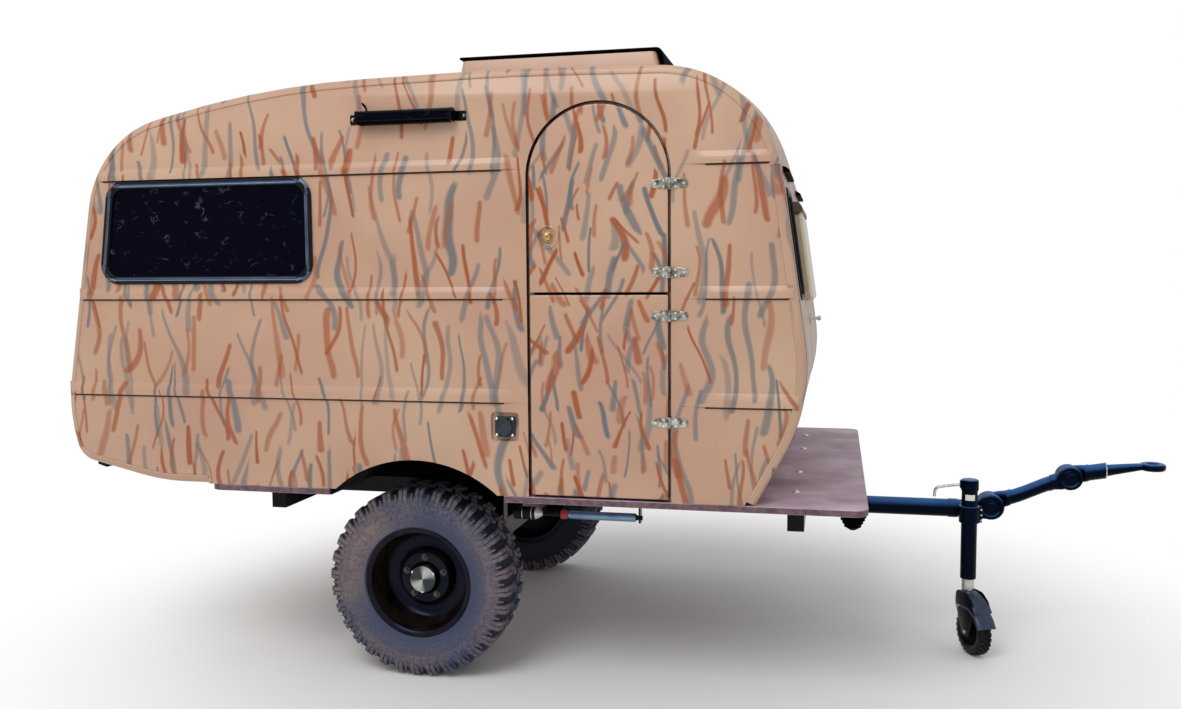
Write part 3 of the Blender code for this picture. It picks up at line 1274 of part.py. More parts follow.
body_shells()
WALLS = {name: side_wall(side, f"side_wall_{name}") for name, side in SIDES}
for name, side in SIDES:
    side_window(side, name)
    wheel_arch(side, name)
    suspension(side, name)
    wheel(side, name)
power_inlet(WALLS["right"])
door()
front_windows(bpy.data.objects["front_wall"])
rear_fittings(bpy.data.objects["rear_wall"])
roof_hatch(bpy.data.objects["roof_shell"])
light_bar()
chassis()
jockey()
coupling()
small_fittings()
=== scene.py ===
# %% [markdown]
# # Off-road camping caravan
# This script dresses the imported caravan. Every place is in metres in the caravan's own frame: +X points
# forward to the tow eye, -Y is the door side and the ground is Z = 0. Tables in mm() are in millimetres.

# %% Load the caravan's frame
import math

import bmesh
import bpy
from mathutils import Matrix, Vector


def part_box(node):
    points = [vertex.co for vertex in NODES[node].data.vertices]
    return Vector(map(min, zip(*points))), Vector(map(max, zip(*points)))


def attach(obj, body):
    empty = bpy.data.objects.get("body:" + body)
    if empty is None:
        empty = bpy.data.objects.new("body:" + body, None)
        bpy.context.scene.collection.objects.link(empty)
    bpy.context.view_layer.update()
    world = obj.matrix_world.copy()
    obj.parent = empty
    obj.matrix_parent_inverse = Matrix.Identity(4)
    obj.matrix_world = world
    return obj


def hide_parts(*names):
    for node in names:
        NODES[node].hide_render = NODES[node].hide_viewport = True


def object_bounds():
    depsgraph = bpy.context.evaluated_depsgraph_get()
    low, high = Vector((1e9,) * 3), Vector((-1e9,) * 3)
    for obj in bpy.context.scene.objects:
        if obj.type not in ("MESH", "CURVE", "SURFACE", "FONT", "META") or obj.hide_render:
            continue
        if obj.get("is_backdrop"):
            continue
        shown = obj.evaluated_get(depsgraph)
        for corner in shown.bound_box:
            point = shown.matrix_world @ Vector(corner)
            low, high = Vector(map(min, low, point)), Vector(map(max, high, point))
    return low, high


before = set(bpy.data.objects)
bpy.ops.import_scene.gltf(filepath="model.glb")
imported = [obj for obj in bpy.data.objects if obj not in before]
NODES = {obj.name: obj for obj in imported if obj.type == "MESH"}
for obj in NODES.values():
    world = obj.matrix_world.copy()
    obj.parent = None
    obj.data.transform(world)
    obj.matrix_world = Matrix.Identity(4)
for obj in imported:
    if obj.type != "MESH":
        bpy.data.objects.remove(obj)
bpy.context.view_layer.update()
print(len(NODES), "nodes loaded")

# %% [markdown]
# ## Driving sizes
# A caravan is set out from its axle, so lengths along X are given from the axle line, as on the maker's
# drawing. The sizes that the frame can give are read from it, so that the fine pieces always fit the solids.

# %% Driving sizes from the frame
def middle(node):
    low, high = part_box(node)
    return (low + high) / 2


AXLE_X = middle("hub_right").x
AXLE_Z = middle("rim_right").z
TRACK_HALF = -middle("rim_right").y
BODY_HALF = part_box("roof_shell")[1].y
DECK_LOW, DECK_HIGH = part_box("deck")
DECK_TOP = DECK_HIGH.z
WALL = 0.032
EDGE_R = 0.028
# Way along Y, and name
SIDES = ((-1, "right"), (1, "left"))
print(f"axle at x {AXLE_X:.3f}, body {2 * BODY_HALF:.3f} m wide")

# %% [markdown]
# ## Helpers for meshes
# Most pieces of a caravan are sheets cut to an outline, turned parts or bent tubes. Each of these is one
# short bmesh function, because an outline in millimetres is easier to check than a sculpted shape.

# %% Outlines in a plane
SMALL_STEP = math.radians(9)


def mm(*rows):
    """Rows of a table in millimetres, turned to metres."""
    return [tuple(value / 1000 for value in row) for row in rows]


def arc(centre, radius, start, stop, step=SMALL_STEP):
    """Points of an arc, both ends included."""
    count = max(2, math.ceil(abs(stop - start) / step))
    turns = [start + (stop - start) * k / count for k in range(count + 1)]
    return [Vector((centre[0] + radius * math.cos(a), centre[1] + radius * math.sin(a))) for a in turns]


def rounded(corners, closed=True, step=SMALL_STEP):
    """An outline through (a, b, radius) corners, each turned into an arc."""
    points = []
    count = len(corners)
    for k, (a, b, radius) in enumerate(corners):
        here = Vector((a, b))
        if radius == 0 or (not closed and k in (0, count - 1)):
            points.append(here)
            continue
        back = (Vector(corners[k - 1][:2]) - here).normalized()
        ahead = (Vector(corners[(k + 1) % count][:2]) - here).normalized()
        half = back.angle(ahead) / 2
        centre = here + (back + ahead).normalized() * radius / math.sin(half)
        reach = radius / math.tan(half)
        first = here + back * reach - centre
        last = here + ahead * reach - centre
        start = math.atan2(first.y, first.x)
        sweep = math.remainder(math.atan2(last.y, last.x) - start, math.tau)
        points += arc(centre, radius, start, start + sweep, step)
    return points


def rectangle(a0, a1, b0, b1, radius=0.0):
    return rounded([(a0, b0, radius), (a1, b0, radius), (a1, b1, radius), (a0, b1, radius)])


def square_at(a, b, half, radius):
    return rectangle(a - half, a + half, b - half, b + half, radius)


def circle(centre, radius, segments=48):
    turns = [math.tau * k / segments for k in range(segments)]
    return [Vector((centre[0] + radius * math.cos(a), centre[1] + radius * math.sin(a))) for a in turns]


print("outlines ready")

# %% Offsets of an outline
def outward(points, closed=True):
    """Unit normals on the right of a path, with the length that keeps an offset parallel."""
    normals = []
    count = len(points)
    for k, here in enumerate(points):
        before = points[k - 1] if closed or k else None
        after = points[(k + 1) % count] if closed or k < count - 1 else None
        sides = [b - a for a, b in ((before, here), (here, after)) if a is not None and b is not None]
        sides = [Vector((s.y, -s.x)).normalized() for s in sides]
        if len(sides) == 1:
            sides *= 2
        normals.append((sides[0] + sides[1]) / (1 + sides[0].dot(sides[1])))
    return normals


def inset(points, distance, closed=True):
    """A counter-clockwise outline moved inwards."""
    return [p - n * distance for p, n in zip(points, outward(points, closed))]


print("offsets ready")

# %% Solids from outlines
def place(axis, a, b, along):
    """A point from an outline's two coordinates and its place along the extruded axis."""
    return {"X": (along, a, b), "Y": (a, along, b), "Z": (a, b, along)}[axis]


def bridge(mesh, one, two, closed=True):
    count = len(one)
    for k in range(count if closed else count - 1):
        other = (k + 1) % count
        mesh.faces.new((one[k], one[other], two[other], two[k]))


def skinned(mesh, rings, loop=False):
    """Skins rings of as many vertices, with a face at each end or round in a loop."""
    pairs = list(zip(rings, rings[1:]))
    if loop:
        pairs.append((rings[-1], rings[0]))
    else:
        mesh.faces.new(rings[0])
        mesh.faces.new(rings[-1])
    for one, two in pairs:
        bridge(mesh, one, two)


def through(sections, loop=False):
    """A solid through sections, each a list of as many (x, y, z) places."""
    mesh = bmesh.new()
    skinned(mesh, [[mesh.verts.new(p) for p in section] for section in sections], loop)
    return mesh


def stacked(levels, axis="Y", loop=False):
    """A solid through outlines of as many points, each with its place along the axis."""
    return through([[place(axis, p[0], p[1], along) for p in outline] for outline, along in levels], loop)


def stepped(outline, steps, axis="Y"):
    """A plate whose outline is trimmed by so much at each place along the axis."""
    return stacked([(inset(outline, trim), along) for trim, along in steps], axis)


def prism(outline, axis, low, high):
    return stacked([(outline, low), (outline, high)], axis)


def soft_prism(outline, axis, back, face, edge, steps=3):
    """A plate whose front edge is rounded; the outline runs counter-clockwise."""
    way = math.copysign(1.0, face - back)
    levels = [(0.0, back)]
    for turn in (math.pi / 2 * k / steps for k in range(steps + 1)):
        levels.append((edge * (1 - math.cos(turn)), face - way * edge * (1 - math.sin(turn))))
    return stepped(outline, levels, axis)


def box(x0, x1, y0, y1, z0, z1):
    return prism([(x0, z0), (x1, z0), (x1, z1), (x0, z1)], "Y", min(y0, y1), max(y0, y1))


print("plates ready")

# %% Turned parts and bent bars
def from_face(profile, start, way=1):
    """A profile whose distances count from a face, one way or the other."""
    return [(start + way * along, radius) for along, radius in profile]


def turned(profile, axis, centre, segments=48, loop=False):
    """A profile of (along, radius) points turned about an axis through a centre."""
    mesh = bmesh.new()
    rings = []
    for along, radius in profile:
        spots = [(0.0, 0.0)] if radius == 0 else circle((0.0, 0.0), radius, segments)
        points = [Vector(place(axis, a, b, along)) + Vector(centre) for a, b in spots]
        rings.append([mesh.verts.new(p) for p in points])
    pairs = list(zip(rings, rings[1:]))
    if loop:
        pairs.append((rings[-1], rings[0]))
    for one, two in pairs:
        if len(one) == 1 or len(two) == 1:
            tip, rim = (one, two) if len(one) == 1 else (two, one)
            for k in range(segments):
                mesh.faces.new((tip[0], rim[k], rim[(k + 1) % segments]))
        else:
            bridge(mesh, one, two)
    return mesh


def swept(points, radius, segments=16):
    """A round bar along a path of (x, y, z); radius is one number or one a point."""
    path = [Vector(p) for p in points]
    radii = [radius] * len(path) if isinstance(radius, float) else radius
    turns = [math.tau * j / segments for j in range(segments)]
    sections = []
    for k, here in enumerate(path):
        back = here - path[k - 1] if k else path[1] - here
        ahead = path[k + 1] - here if k < len(path) - 1 else back
        along = (back.normalized() + ahead.normalized()).normalized()
        side = Vector((0.0, 1.0, 0.0))
        if abs(along.dot(side)) > 0.9:
            side = Vector((1.0, 0.0, 0.0))
        up = along.cross(side).normalized()
        side = up.cross(along)
        sections.append([here + (side * math.cos(a) + up * math.sin(a)) * radii[k] for a in turns])
    return through(sections)


def merged(*meshes):
    """Several meshes in one, as separate closed forms."""
    whole = bmesh.new()
    for mesh in meshes:
        part = bpy.data.meshes.new("part")
        mesh.to_mesh(part)
        mesh.free()
        whole.from_mesh(part)
        bpy.data.meshes.remove(part)
    return whole


print("turned parts ready")

# %% [markdown]
# ## Pieces
# Each finished mesh becomes an object that rides on a body of the frame, and hides the solid it stands for.
# Holes are cut with Boolean modifiers, as a router cuts a moulded panel, and then applied.

# %% Make a piece and cut it
SHARP_ANGLE = math.radians(32)


def item(name, mesh, turn=None):
    """An object from a mesh in the axle's frame; turn is a further placing of a sloping piece."""
    if turn is not None:
        bmesh.ops.transform(mesh, matrix=turn, verts=mesh.verts)
    bmesh.ops.translate(mesh, verts=mesh.verts, vec=(AXLE_X, 0.0, 0.0))
    bmesh.ops.recalc_face_normals(mesh, faces=mesh.faces)
    data = bpy.data.meshes.new(name)
    mesh.to_mesh(data)
    mesh.free()
    made = bpy.data.objects.new(name, data)
    bpy.context.scene.collection.objects.link(made)
    return made


def routed(target, cutters, bevel=0.0, joined=()):
    """Cuts the cutters out of an object, joins others to it, rounds its edges, and applies it all."""
    steps = [("DIFFERENCE", c) for c in cutters] + [("UNION", j) for j in joined]
    for operation, tool in steps:
        step = target.modifiers.new(operation, "BOOLEAN")
        step.operation = operation
        step.object = tool
        step.solver = "EXACT"
        step.use_self = True
    if bevel:
        step = target.modifiers.new("soft edges", "BEVEL")
        step.width = bevel
        step.segments = 2
        step.limit_method = "ANGLE"
        step.angle_limit = math.radians(40)
    bpy.context.view_layer.update()
    shaped = target.evaluated_get(bpy.context.evaluated_depsgraph_get())
    data = bpy.data.meshes.new_from_object(shaped)
    target.modifiers.clear()
    target.data = data
    for operation, tool in steps:
        bpy.data.objects.remove(tool)
    return target


def taken(made):
    """Takes an object back as a mesh in the axle's frame, so that it can be joined with others."""
    mesh = bmesh.new()
    mesh.from_mesh(made.data)
    bmesh.ops.translate(mesh, verts=mesh.verts, vec=(-AXLE_X, 0.0, 0.0))
    bpy.data.objects.remove(made)
    return mesh


print("cutting ready")

# %% Finish a piece
def finished(made, material, body, *replaced, sharp=SHARP_ANGLE):
    """Shades an object, gives it its material and its body, and hides the solids it stands for."""
    made.data.materials.clear()
    made.data.materials.append(material)
    made.data.shade_smooth()
    made.data.set_sharp_from_angle(angle=sharp)
    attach(made, body)
    if replaced:
        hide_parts(*replaced)
    print(f"{made.name}: {len(made.data.polygons)} faces")
    return made


def piece(name, mesh, material, body, *replaced, turn=None, sharp=SHARP_ANGLE):
    """A finished object straight from its mesh."""
    return finished(item(name, mesh, turn), material, body, *replaced, sharp=sharp)


def second_finish(made, material, chosen):
    """Gives some faces another material; chosen takes a face's middle in the axle's frame and its normal."""
    index = len(made.data.materials)
    made.data.materials.append(material)
    for face in made.data.polygons:
        spot = face.center - Vector((AXLE_X, 0.0, 0.0))
        if chosen(spot, face.normal):
            face.material_index = index


def dress(material, *names):
    """Gives its finish to a solid of the frame that keeps its shape."""
    for name in names:
        NODES[name].material_slots[0].material = material


print("finishing ready")

# %% [markdown]
# ## Colours and nodes
# Paint charts give colours as sRGB hex values, and Blender's shaders work in linear light, so one function
# turns the one into the other. One more function adds a node with its settings and links.

# %% Colour and node functions
def linear(code):
    """A hex colour as linear red, green, blue and alpha."""
    shares = [int(code[k:k + 2], 16) / 255 for k in (0, 2, 4)]
    return (*(s / 12.92 if s <= 0.04045 else ((s + 0.055) / 1.055) ** 2.4 for s in shares), 1.0)


def add_node(tree, kind, inputs=(), **settings):
    """A node with its settings; inputs are values, sockets, or nodes whose first output is meant.

    The kind is the node's type without ShaderNode in front, or one of the two ends of a node group.
    """
    made = tree.nodes.new(kind if kind.startswith("NodeGroup") else "ShaderNode" + kind)
    for name, value in settings.items():
        setattr(made, name, value)
    pairs = inputs.items() if isinstance(inputs, dict) else enumerate(inputs)
    for key, value in pairs:
        if isinstance(value, bpy.types.Node):
            value = value.outputs[0]
        if isinstance(value, bpy.types.NodeSocket):
            tree.links.new(value, made.inputs[key])
        elif value is not None:
            made.inputs[key].default_value = value
    return made


def feed(node, key, source):
    """Links an output to an input of a node that is there already."""
    node.id_data.links.new(source, node.inputs[key])


def new_material(name, colour, roughness, metallic=0.0, **sockets):
    """A material with its plain values set; returns it with its node tree and its shader."""
    made = bpy.data.materials.new(name)
    made.use_nodes = True
    shader = made.node_tree.nodes["Principled BSDF"]
    values = {"Base Color": linear(colour), "Roughness": roughness, "Metallic": metallic}
    for key, value in sockets.items():
        values[key.replace("_", " ").title().replace("Ior", "IOR")] = value
    for key, value in values.items():
        shader.inputs[key].default_value = value
    return made, made.node_tree, shader


print("colour functions ready")

# %% [markdown]
# ## Camouflage gelcoat
# The shell is moulded glass fibre, and its skin is gelcoat, a tan polyester sprayed into the mould first. By
# hand, someone then drew soft strokes over it with a spray gun, in rust brown and in blue grey. They could
# be painted on as an image, but a pattern made by nodes stays sharp at any distance and fits every panel.
# A Voronoi texture scatters one stroke in each of its cells. Round each cell's centre, the distance to a
# short leaning line gives the stroke its soft edge, and a noise that bends the coordinates lets it wander.

# %% One layer of sprayed strokes
STROKE_VECTORS = ("Place", "Cell", "Shift")
STROKE_NUMBERS = ("Lean", "Length", "Width", "Share")
# Metres that a stroke may stray sideways, and bends in a metre
WANDER = 0.13
WANDER_SCALE = 2.7


def stroke_group():
    """The nodes that give how strongly one layer of strokes covers each place."""
    tree = bpy.data.node_groups.new("spray strokes", "ShaderNodeTree")
    for name in STROKE_VECTORS + STROKE_NUMBERS:
        kind = "NodeSocketVector" if name in STROKE_VECTORS else "NodeSocketFloat"
        tree.interface.new_socket(name, in_out="INPUT", socket_type=kind)
    tree.interface.new_socket("Strength", in_out="OUTPUT", socket_type="NodeSocketFloat")
    given = add_node(tree, "NodeGroupInput").outputs
    shifted = add_node(tree, "VectorMath", [given["Place"], given["Shift"]], operation="ADD")
    noise = add_node(tree, "TexNoise", {"Vector": shifted, "Scale": WANDER_SCALE, "Detail": 0.6})
    strayed = add_node(
        tree, "VectorMath", [noise.outputs["Color"], (WANDER * 2, WANDER, 0.0), shifted],
        operation="MULTIPLY_ADD",
    )
    celled = add_node(tree, "VectorMath", [strayed, given["Cell"]], operation="DIVIDE")
    centre = add_node(
        tree, "TexVoronoi", {"Vector": celled, "Scale": 1.0, "Randomness": 0.85}, voronoi_dimensions="2D"
    )
    border = add_node(
        tree, "TexVoronoi", {"Vector": celled, "Scale": 1.0, "Randomness": 0.85},
        voronoi_dimensions="2D", feature="DISTANCE_TO_EDGE",
    )
    chance = add_node(tree, "SeparateXYZ", [centre.outputs["Color"]])
    away = add_node(tree, "VectorMath", [celled, centre.outputs["Position"]], operation="SUBTRACT")
    away = add_node(tree, "VectorMath", [away, given["Cell"]], operation="MULTIPLY")
    swing = add_node(tree, "Math", [chance.outputs["X"], 2.0, -1.0], operation="MULTIPLY_ADD")
    swing = add_node(tree, "Math", [swing, given["Lean"]], operation="MULTIPLY")
    leaned = add_node(tree, "VectorRotate", {"Vector": away, "Angle": swing}, rotation_type="Z_AXIS")
    spot = add_node(tree, "SeparateXYZ", [leaned])
    longer = add_node(tree, "Math", [chance.outputs["Y"], 0.9, 0.45], operation="MULTIPLY_ADD")
    half = add_node(tree, "Math", [longer, given["Length"]], operation="MULTIPLY")
    up = add_node(tree, "Math", [spot.outputs["Y"]], operation="ABSOLUTE")
    past = add_node(tree, "Math", [up, half], operation="SUBTRACT")
    past = add_node(tree, "Math", [past, 0.0], operation="MAXIMUM")
    past = add_node(tree, "Math", [past, 0.8], operation="MULTIPLY")
    off = add_node(tree, "CombineXYZ", [spot.outputs["X"], past, 0.0])
    off = add_node(tree, "VectorMath", [off], operation="LENGTH")
    # The stroke narrows towards one end, where the gun moved off
    taper = add_node(tree, "Math", [spot.outputs["Y"], half], operation="DIVIDE")
    taper = add_node(tree, "Clamp", [taper, -1.0, 1.0])
    taper = add_node(tree, "Math", [taper, -0.14, 1.0], operation="MULTIPLY_ADD")
    broad = add_node(tree, "Math", [chance.outputs["Z"], 0.7, 0.65], operation="MULTIPLY_ADD")
    broad = add_node(tree, "Math", [broad, given["Width"]], operation="MULTIPLY")
    broad = add_node(tree, "Math", [broad, taper], operation="MULTIPLY")
    core = add_node(tree, "Math", [broad, 0.34], operation="MULTIPLY")
    depth = add_node(
        tree, "MapRange", [off.outputs["Value"], core, broad, 1.0, 0.0], interpolation_type="SMOOTHSTEP"
    )
    inside = add_node(tree, "MapRange", [border, 0.0, 0.07, 0.0, 1.0], interpolation_type="SMOOTHSTEP")
    depth = add_node(tree, "Math", [depth, inside], operation="MULTIPLY")
    # A second number from the cell decides whether it has a stroke, and how strong that is
    draw = add_node(tree, "Math", [chance.outputs["Z"], 7.31], operation="MULTIPLY")
    draw = add_node(tree, "Math", [draw], operation="FRACT")
    faint = add_node(tree, "MapRange", [draw, 0.0, given["Share"], 1.0, 0.55])
    there = add_node(tree, "Math", [draw, given["Share"]], operation="LESS_THAN")
    depth = add_node(tree, "Math", [depth, faint], operation="MULTIPLY")
    depth = add_node(tree, "Math", [depth, there], operation="MULTIPLY")
    add_node(tree, "NodeGroupOutput", [depth])
    return tree


STROKES = stroke_group()
print(len(STROKES.nodes), "nodes in a layer of strokes")

# %% [markdown]
# A wall takes several such layers in each colour, each with other cells, so that strokes lie between and
# across each other. The doors are painted more closely and more wildly than the walls.

# %% Gelcoat with its strokes
# Columns: paint, cell width and height, shift of the cells, lean in degrees, half length, half width,
# share of the cells that hold a stroke, strength
WALL_LAYERS = (
    ("grey", (0.096, 0.43), (0.31, 0.17), 9, 0.165, 0.0135, 0.92, 0.88),
    ("rust", (0.108, 0.3), (0.77, 0.59), 11, 0.105, 0.013, 0.88, 0.98),
    ("grey", (0.14, 0.38), (1.93, 1.21), 16, 0.14, 0.014, 0.8, 0.72),
    ("rust", (0.13, 0.28), (2.57, 1.83), 18, 0.085, 0.0125, 0.8, 0.92),
)
DOOR_LAYERS = (
    ("grey", (0.08, 0.22), (0.13, 0.41), 22, 0.085, 0.0125, 0.96, 1.0),
    ("rust", (0.086, 0.18), (1.37, 0.83), 22, 0.058, 0.0115, 0.94, 1.0),
    ("grey", (0.1, 0.24), (2.11, 1.67), 36, 0.095, 0.0135, 0.88, 0.9),
    ("rust", (0.096, 0.19), (3.19, 2.41), 34, 0.058, 0.0115, 0.88, 1.0),
)
PAINT = {"rust": "9C4A15", "grey": "5D666C"}
GELCOAT = "BE9A80"
GELCOAT_PINK = "BB917A"
GELCOAT_PALE = "C8A68A"


def gelcoat(name, layers):
    """Sprayed gelcoat: a satin skin with patches of shade, fine orange peel, and the strokes."""
    material, tree, shader = new_material(name, GELCOAT, 0.36, coat_weight=0.25, coat_roughness=0.18)
    spot = add_node(tree, "Attribute", attribute_name="paint_place")
    patches = add_node(tree, "TexNoise", {"Vector": spot.outputs["Vector"], "Scale": 1.3, "Detail": 3.0})
    shade = add_node(tree, "ValToRGB", [patches.outputs["Fac"]])
    ramp = shade.color_ramp.elements
    ramp[0].position, ramp[0].color = 0.36, linear(GELCOAT_PINK)
    ramp[1].position, ramp[1].color = 0.66, linear(GELCOAT_PALE)
    colour = shade.outputs["Color"]
    for paint, cell, shift, lean, length, width, share, strength in layers:
        sizes = ((*cell, 1.0), (*shift, 0.0), math.radians(lean), length, width, share)
        layer = add_node(tree, "Group", (spot.outputs["Vector"], *sizes), node_tree=STROKES)
        amount = add_node(tree, "Math", [layer, strength], operation="MULTIPLY")
        blend = add_node(tree, "Mix", {"Factor": amount, "B": linear(PAINT[paint])}, data_type="RGBA")
        feed(blend, "A", colour)
        colour = blend.outputs["Result"]
    feed(shader, "Base Color", colour)
    # Orange peel is about 2 mm from bump to bump
    peel = add_node(tree, "TexNoise", {"Vector": spot.outputs["Vector"], "Scale": 480.0})
    bump = add_node(tree, "Bump", {"Strength": 0.04, "Distance": 0.001, "Height": peel})
    feed(shader, "Normal", bump.outputs["Normal"])
    return material


CAMOUFLAGE = gelcoat("camouflage gelcoat", WALL_LAYERS)
DOOR_CAMOUFLAGE = gelcoat("camouflage gelcoat on the doors", DOOR_LAYERS)
PLAIN_GELCOAT = gelcoat("plain gelcoat", ())
print("gelcoat ready")

# %% [markdown]
# ## Rubber, acrylic, metals and plastics
# The other finishes differ mostly in colour, gloss and in how dirt and wear break them up. One function
# builds them: two shades mixed by a noise of a real size, with a roughness and a fine bump that follow it.

# %% A finish in two shades
def two_shades(name, light, dark, rough, grain_mm, bump=0.15, metallic=0.0, spread=0.12, **sockets):
    """A material whose shade, gloss and surface change with a noise of the given grain."""
    material, tree, shader = new_material(name, light, rough, metallic, **sockets)
    where = add_node(tree, "TexCoord").outputs["Object"]
    broad = add_node(tree, "TexNoise", {"Vector": where, "Scale": 1000 / grain_mm, "Detail": 6.0})
    sharper = add_node(tree, "MapRange", [broad, 0.35, 0.65, 0.0, 1.0])
    shades = {"Factor": sharper, "A": linear(dark), "B": linear(light)}
    colour = add_node(tree, "Mix", shades, data_type="RGBA")
    feed(shader, "Base Color", colour.outputs["Result"])
    gloss = add_node(tree, "MapRange", [broad, 0.3, 0.7, rough - spread / 2, rough + spread / 2])
    feed(shader, "Roughness", gloss.outputs[0])
    fine = add_node(tree, "TexNoise", {"Vector": where, "Scale": 6000 / grain_mm, "Detail": 3.0})
    relief = add_node(tree, "Bump", {"Strength": bump, "Distance": 0.001, "Height": fine})
    feed(shader, "Normal", relief.outputs["Normal"])
    return material


print("two-shade finishes ready")

# %% Enamels and sealant
# Brushed-on enamel over steel gives a deep, slightly blue black with soft highlights
ENAMEL = two_shades(
    "black enamel", "050507", "020203", 0.2, 90, bump=0.04, spread=0.08, specular_ior_level=0.14
)
# The rims' black enamel has brown patches, and its reflections take a painted blue sky tint
RIM_ENAMEL = two_shades(
    "black rim enamel with brown patches", "211914", "030305", 0.26, 110, bump=0.04,
    specular_ior_level=0.24, specular_tint=linear("A9BAFF"),
)
# A dark brown painted shadow lies in the groove under each swage
SWAGE_SHADOW_PAINT = two_shades("painted brown shadow under swages", "4A2A14", "331C0D", 0.6, 30)
# The drawbar's black enamel carries a painted sky reflection: a navy tint, blue tinted reflections and a
# lighter painted blue on its top
NAVY_ENAMEL = two_shades(
    "blue black enamel with painted sky reflection", "03060F", "010308", 0.22, 90, bump=0.04,
    specular_ior_level=0.14, specular_tint=linear("86AEFF"),
)


def paint_sky_reflection(material, tint):
    """Paints a sky reflection in the given tint on faces turned to the sky, and leaves the underside as it
    is.
    """
    tree = material.node_tree
    shader = tree.nodes["Principled BSDF"]
    under = shader.inputs["Base Color"].links[0].from_socket
    facing = add_node(tree, "NewGeometry").outputs["Normal"]
    facing = add_node(tree, "SeparateXYZ", [facing])
    amount = add_node(
        tree, "MapRange", [facing.outputs["Z"], 0.15, 0.9, 0.0, 1.0], interpolation_type="SMOOTHSTEP"
    )
    blend = add_node(tree, "Mix", {"Factor": amount, "B": linear(tint)}, data_type="RGBA")
    feed(blend, "A", under)
    feed(shader, "Base Color", blend.outputs["Result"])


# A painted blue sky reflection on the tops of the drawbar, coupling and jockey tube
paint_sky_reflection(NAVY_ENAMEL, "35609C")
print("enamels ready")

# %% Rubber, metals and plastics
# EPDM window rubber is near black; along the seal's rounded front a bluish grey highlight is painted, lighter
# where it faces up
RUBBER = two_shades("EPDM rubber", "090B12", "040509", 0.4, 60, bump=0.08, specular_ior_level=0.22)
SEAL_HIGHLIGHT = two_shades("EPDM rubber with painted highlight", "4A5970", "374459", 0.34, 60, bump=0.08)
# The seal's upward faces take a lighter painted sky reflection
paint_sky_reflection(SEAL_HIGHLIGHT, "86A4D2")
# Hot-dip or plated zinc keeps a cool mottled shine
ZINC = two_shades("bright zinc", "D8D9D4", "B4B6B0", 0.3, 18, metallic=1.0)
STAINLESS = two_shades("polished stainless steel", "DAD6CC", "66635B", 0.18, 16, metallic=1.0, spread=0.1)
SCREW = two_shades("bright screw heads", "F4F2EC", "E2E0D8", 0.22, 25, metallic=1.0)
BRASS = two_shades("brass", "E2BE88", "B98E50", 0.28, 12, metallic=1.0)
DAMPER = two_shades("blue silver paint", "7E9DB8", "6A88A4", 0.14, 60, bump=0.03, metallic=0.9, spread=0.06)
BLACK_PLASTIC = two_shades(
    "black polypropylene", "030304", "010101", 0.6, 30, bump=0.2, specular_ior_level=0.03
)
BROWN_PLASTIC = two_shades("brown ABS", "66504C", "564240", 0.42, 40)
WHITE_PLATE = two_shades("white enamelled aluminium", "E4E4DF", "D6D6D0", 0.35, 80)
RED_LENS = two_shades("red acrylic lens", "9E1B12", "8A140D", 0.14, 60, coat_weight=0.6)
AMBER_LENS = two_shades("amber acrylic lens", "C9761C", "B0600F", 0.14, 60, coat_weight=0.6)
NUT_STEEL = two_shades("oiled steel", "6A6560", "45413D", 0.34, 12, metallic=0.9)
INLET_PLASTIC = two_shades("dark grey ABS", "2A3038", "1A1E24", 0.36, 40)
# The bush of the damper is red natural rubber, still shiny
RED_RUBBER = two_shades("red rubber", "A8251C", "861B15", 0.36, 20)
# The hood over the jockey wheel has faded to a dark slate blue
HOOD_PLASTIC = two_shades("slate blue polyethylene", "2C3A57", "1E2A42", 0.34, 40, bump=0.1)
# The cut edge of the ply is sealed with a brown paint that has a lilac cast
PLY_EDGE = two_shades("edge sealer", "775A60", "4E3B42", 0.5, 25, bump=0.3)
print("plain finishes ready")

# %% [markdown]
# The side panes are dark tinted acrylic with old protective film behind them, which shows as faint pale
# creases, partly painted glints on the creased film. They are almost opaque, so a glossy near-black with a
# vein pattern is truer than real glass.

# %% Tinted acrylic with creased film
def tinted_acrylic():
    material, tree, shader = new_material(
        "tinted acrylic", "010210", 0.07, ior=1.45, specular_ior_level=0.06
    )
    where = add_node(tree, "TexCoord").outputs["Object"]
    bent = add_node(tree, "TexNoise", {"Vector": where, "Scale": 7.0, "Detail": 4.0})
    strayed = add_node(
        tree, "VectorMath", [bent.outputs["Color"], (0.2, 0.0, 0.2), where], operation="MULTIPLY_ADD"
    )
    # Creases of the film are some centimetres long and run mostly along the pane
    flat = add_node(tree, "VectorMath", [strayed, (9.0, 9.0, 26.0)], operation="MULTIPLY")
    creases = add_node(tree, "TexVoronoi", {"Vector": flat, "Scale": 1.0}, feature="DISTANCE_TO_EDGE")
    thin = add_node(tree, "MapRange", [creases, 0.0, 0.045, 1.0, 0.0])
    patch = add_node(tree, "TexNoise", {"Vector": where, "Scale": 19.0, "Detail": 3.0})
    some = add_node(tree, "MapRange", [patch, 0.55, 0.68, 0.0, 0.34])
    shown = add_node(tree, "Math", [thin, some], operation="MULTIPLY")
    # The pale creases are partly painted glints on the creased film
    colour = add_node(
        tree, "Mix", {"Factor": shown, "A": linear("020312"), "B": linear("6C7288")}, data_type="RGBA"
    )
    feed(shader, "Base Color", colour.outputs["Result"])
    return material


ACRYLIC = tinted_acrylic()
print("tinted acrylic ready")

# %% [markdown]
# The hinged front pane is clear acrylic. It shows as pale, yellowish edges and a glossy blue-white face;
# its pale yellow colour is a painted reflection of the surroundings.

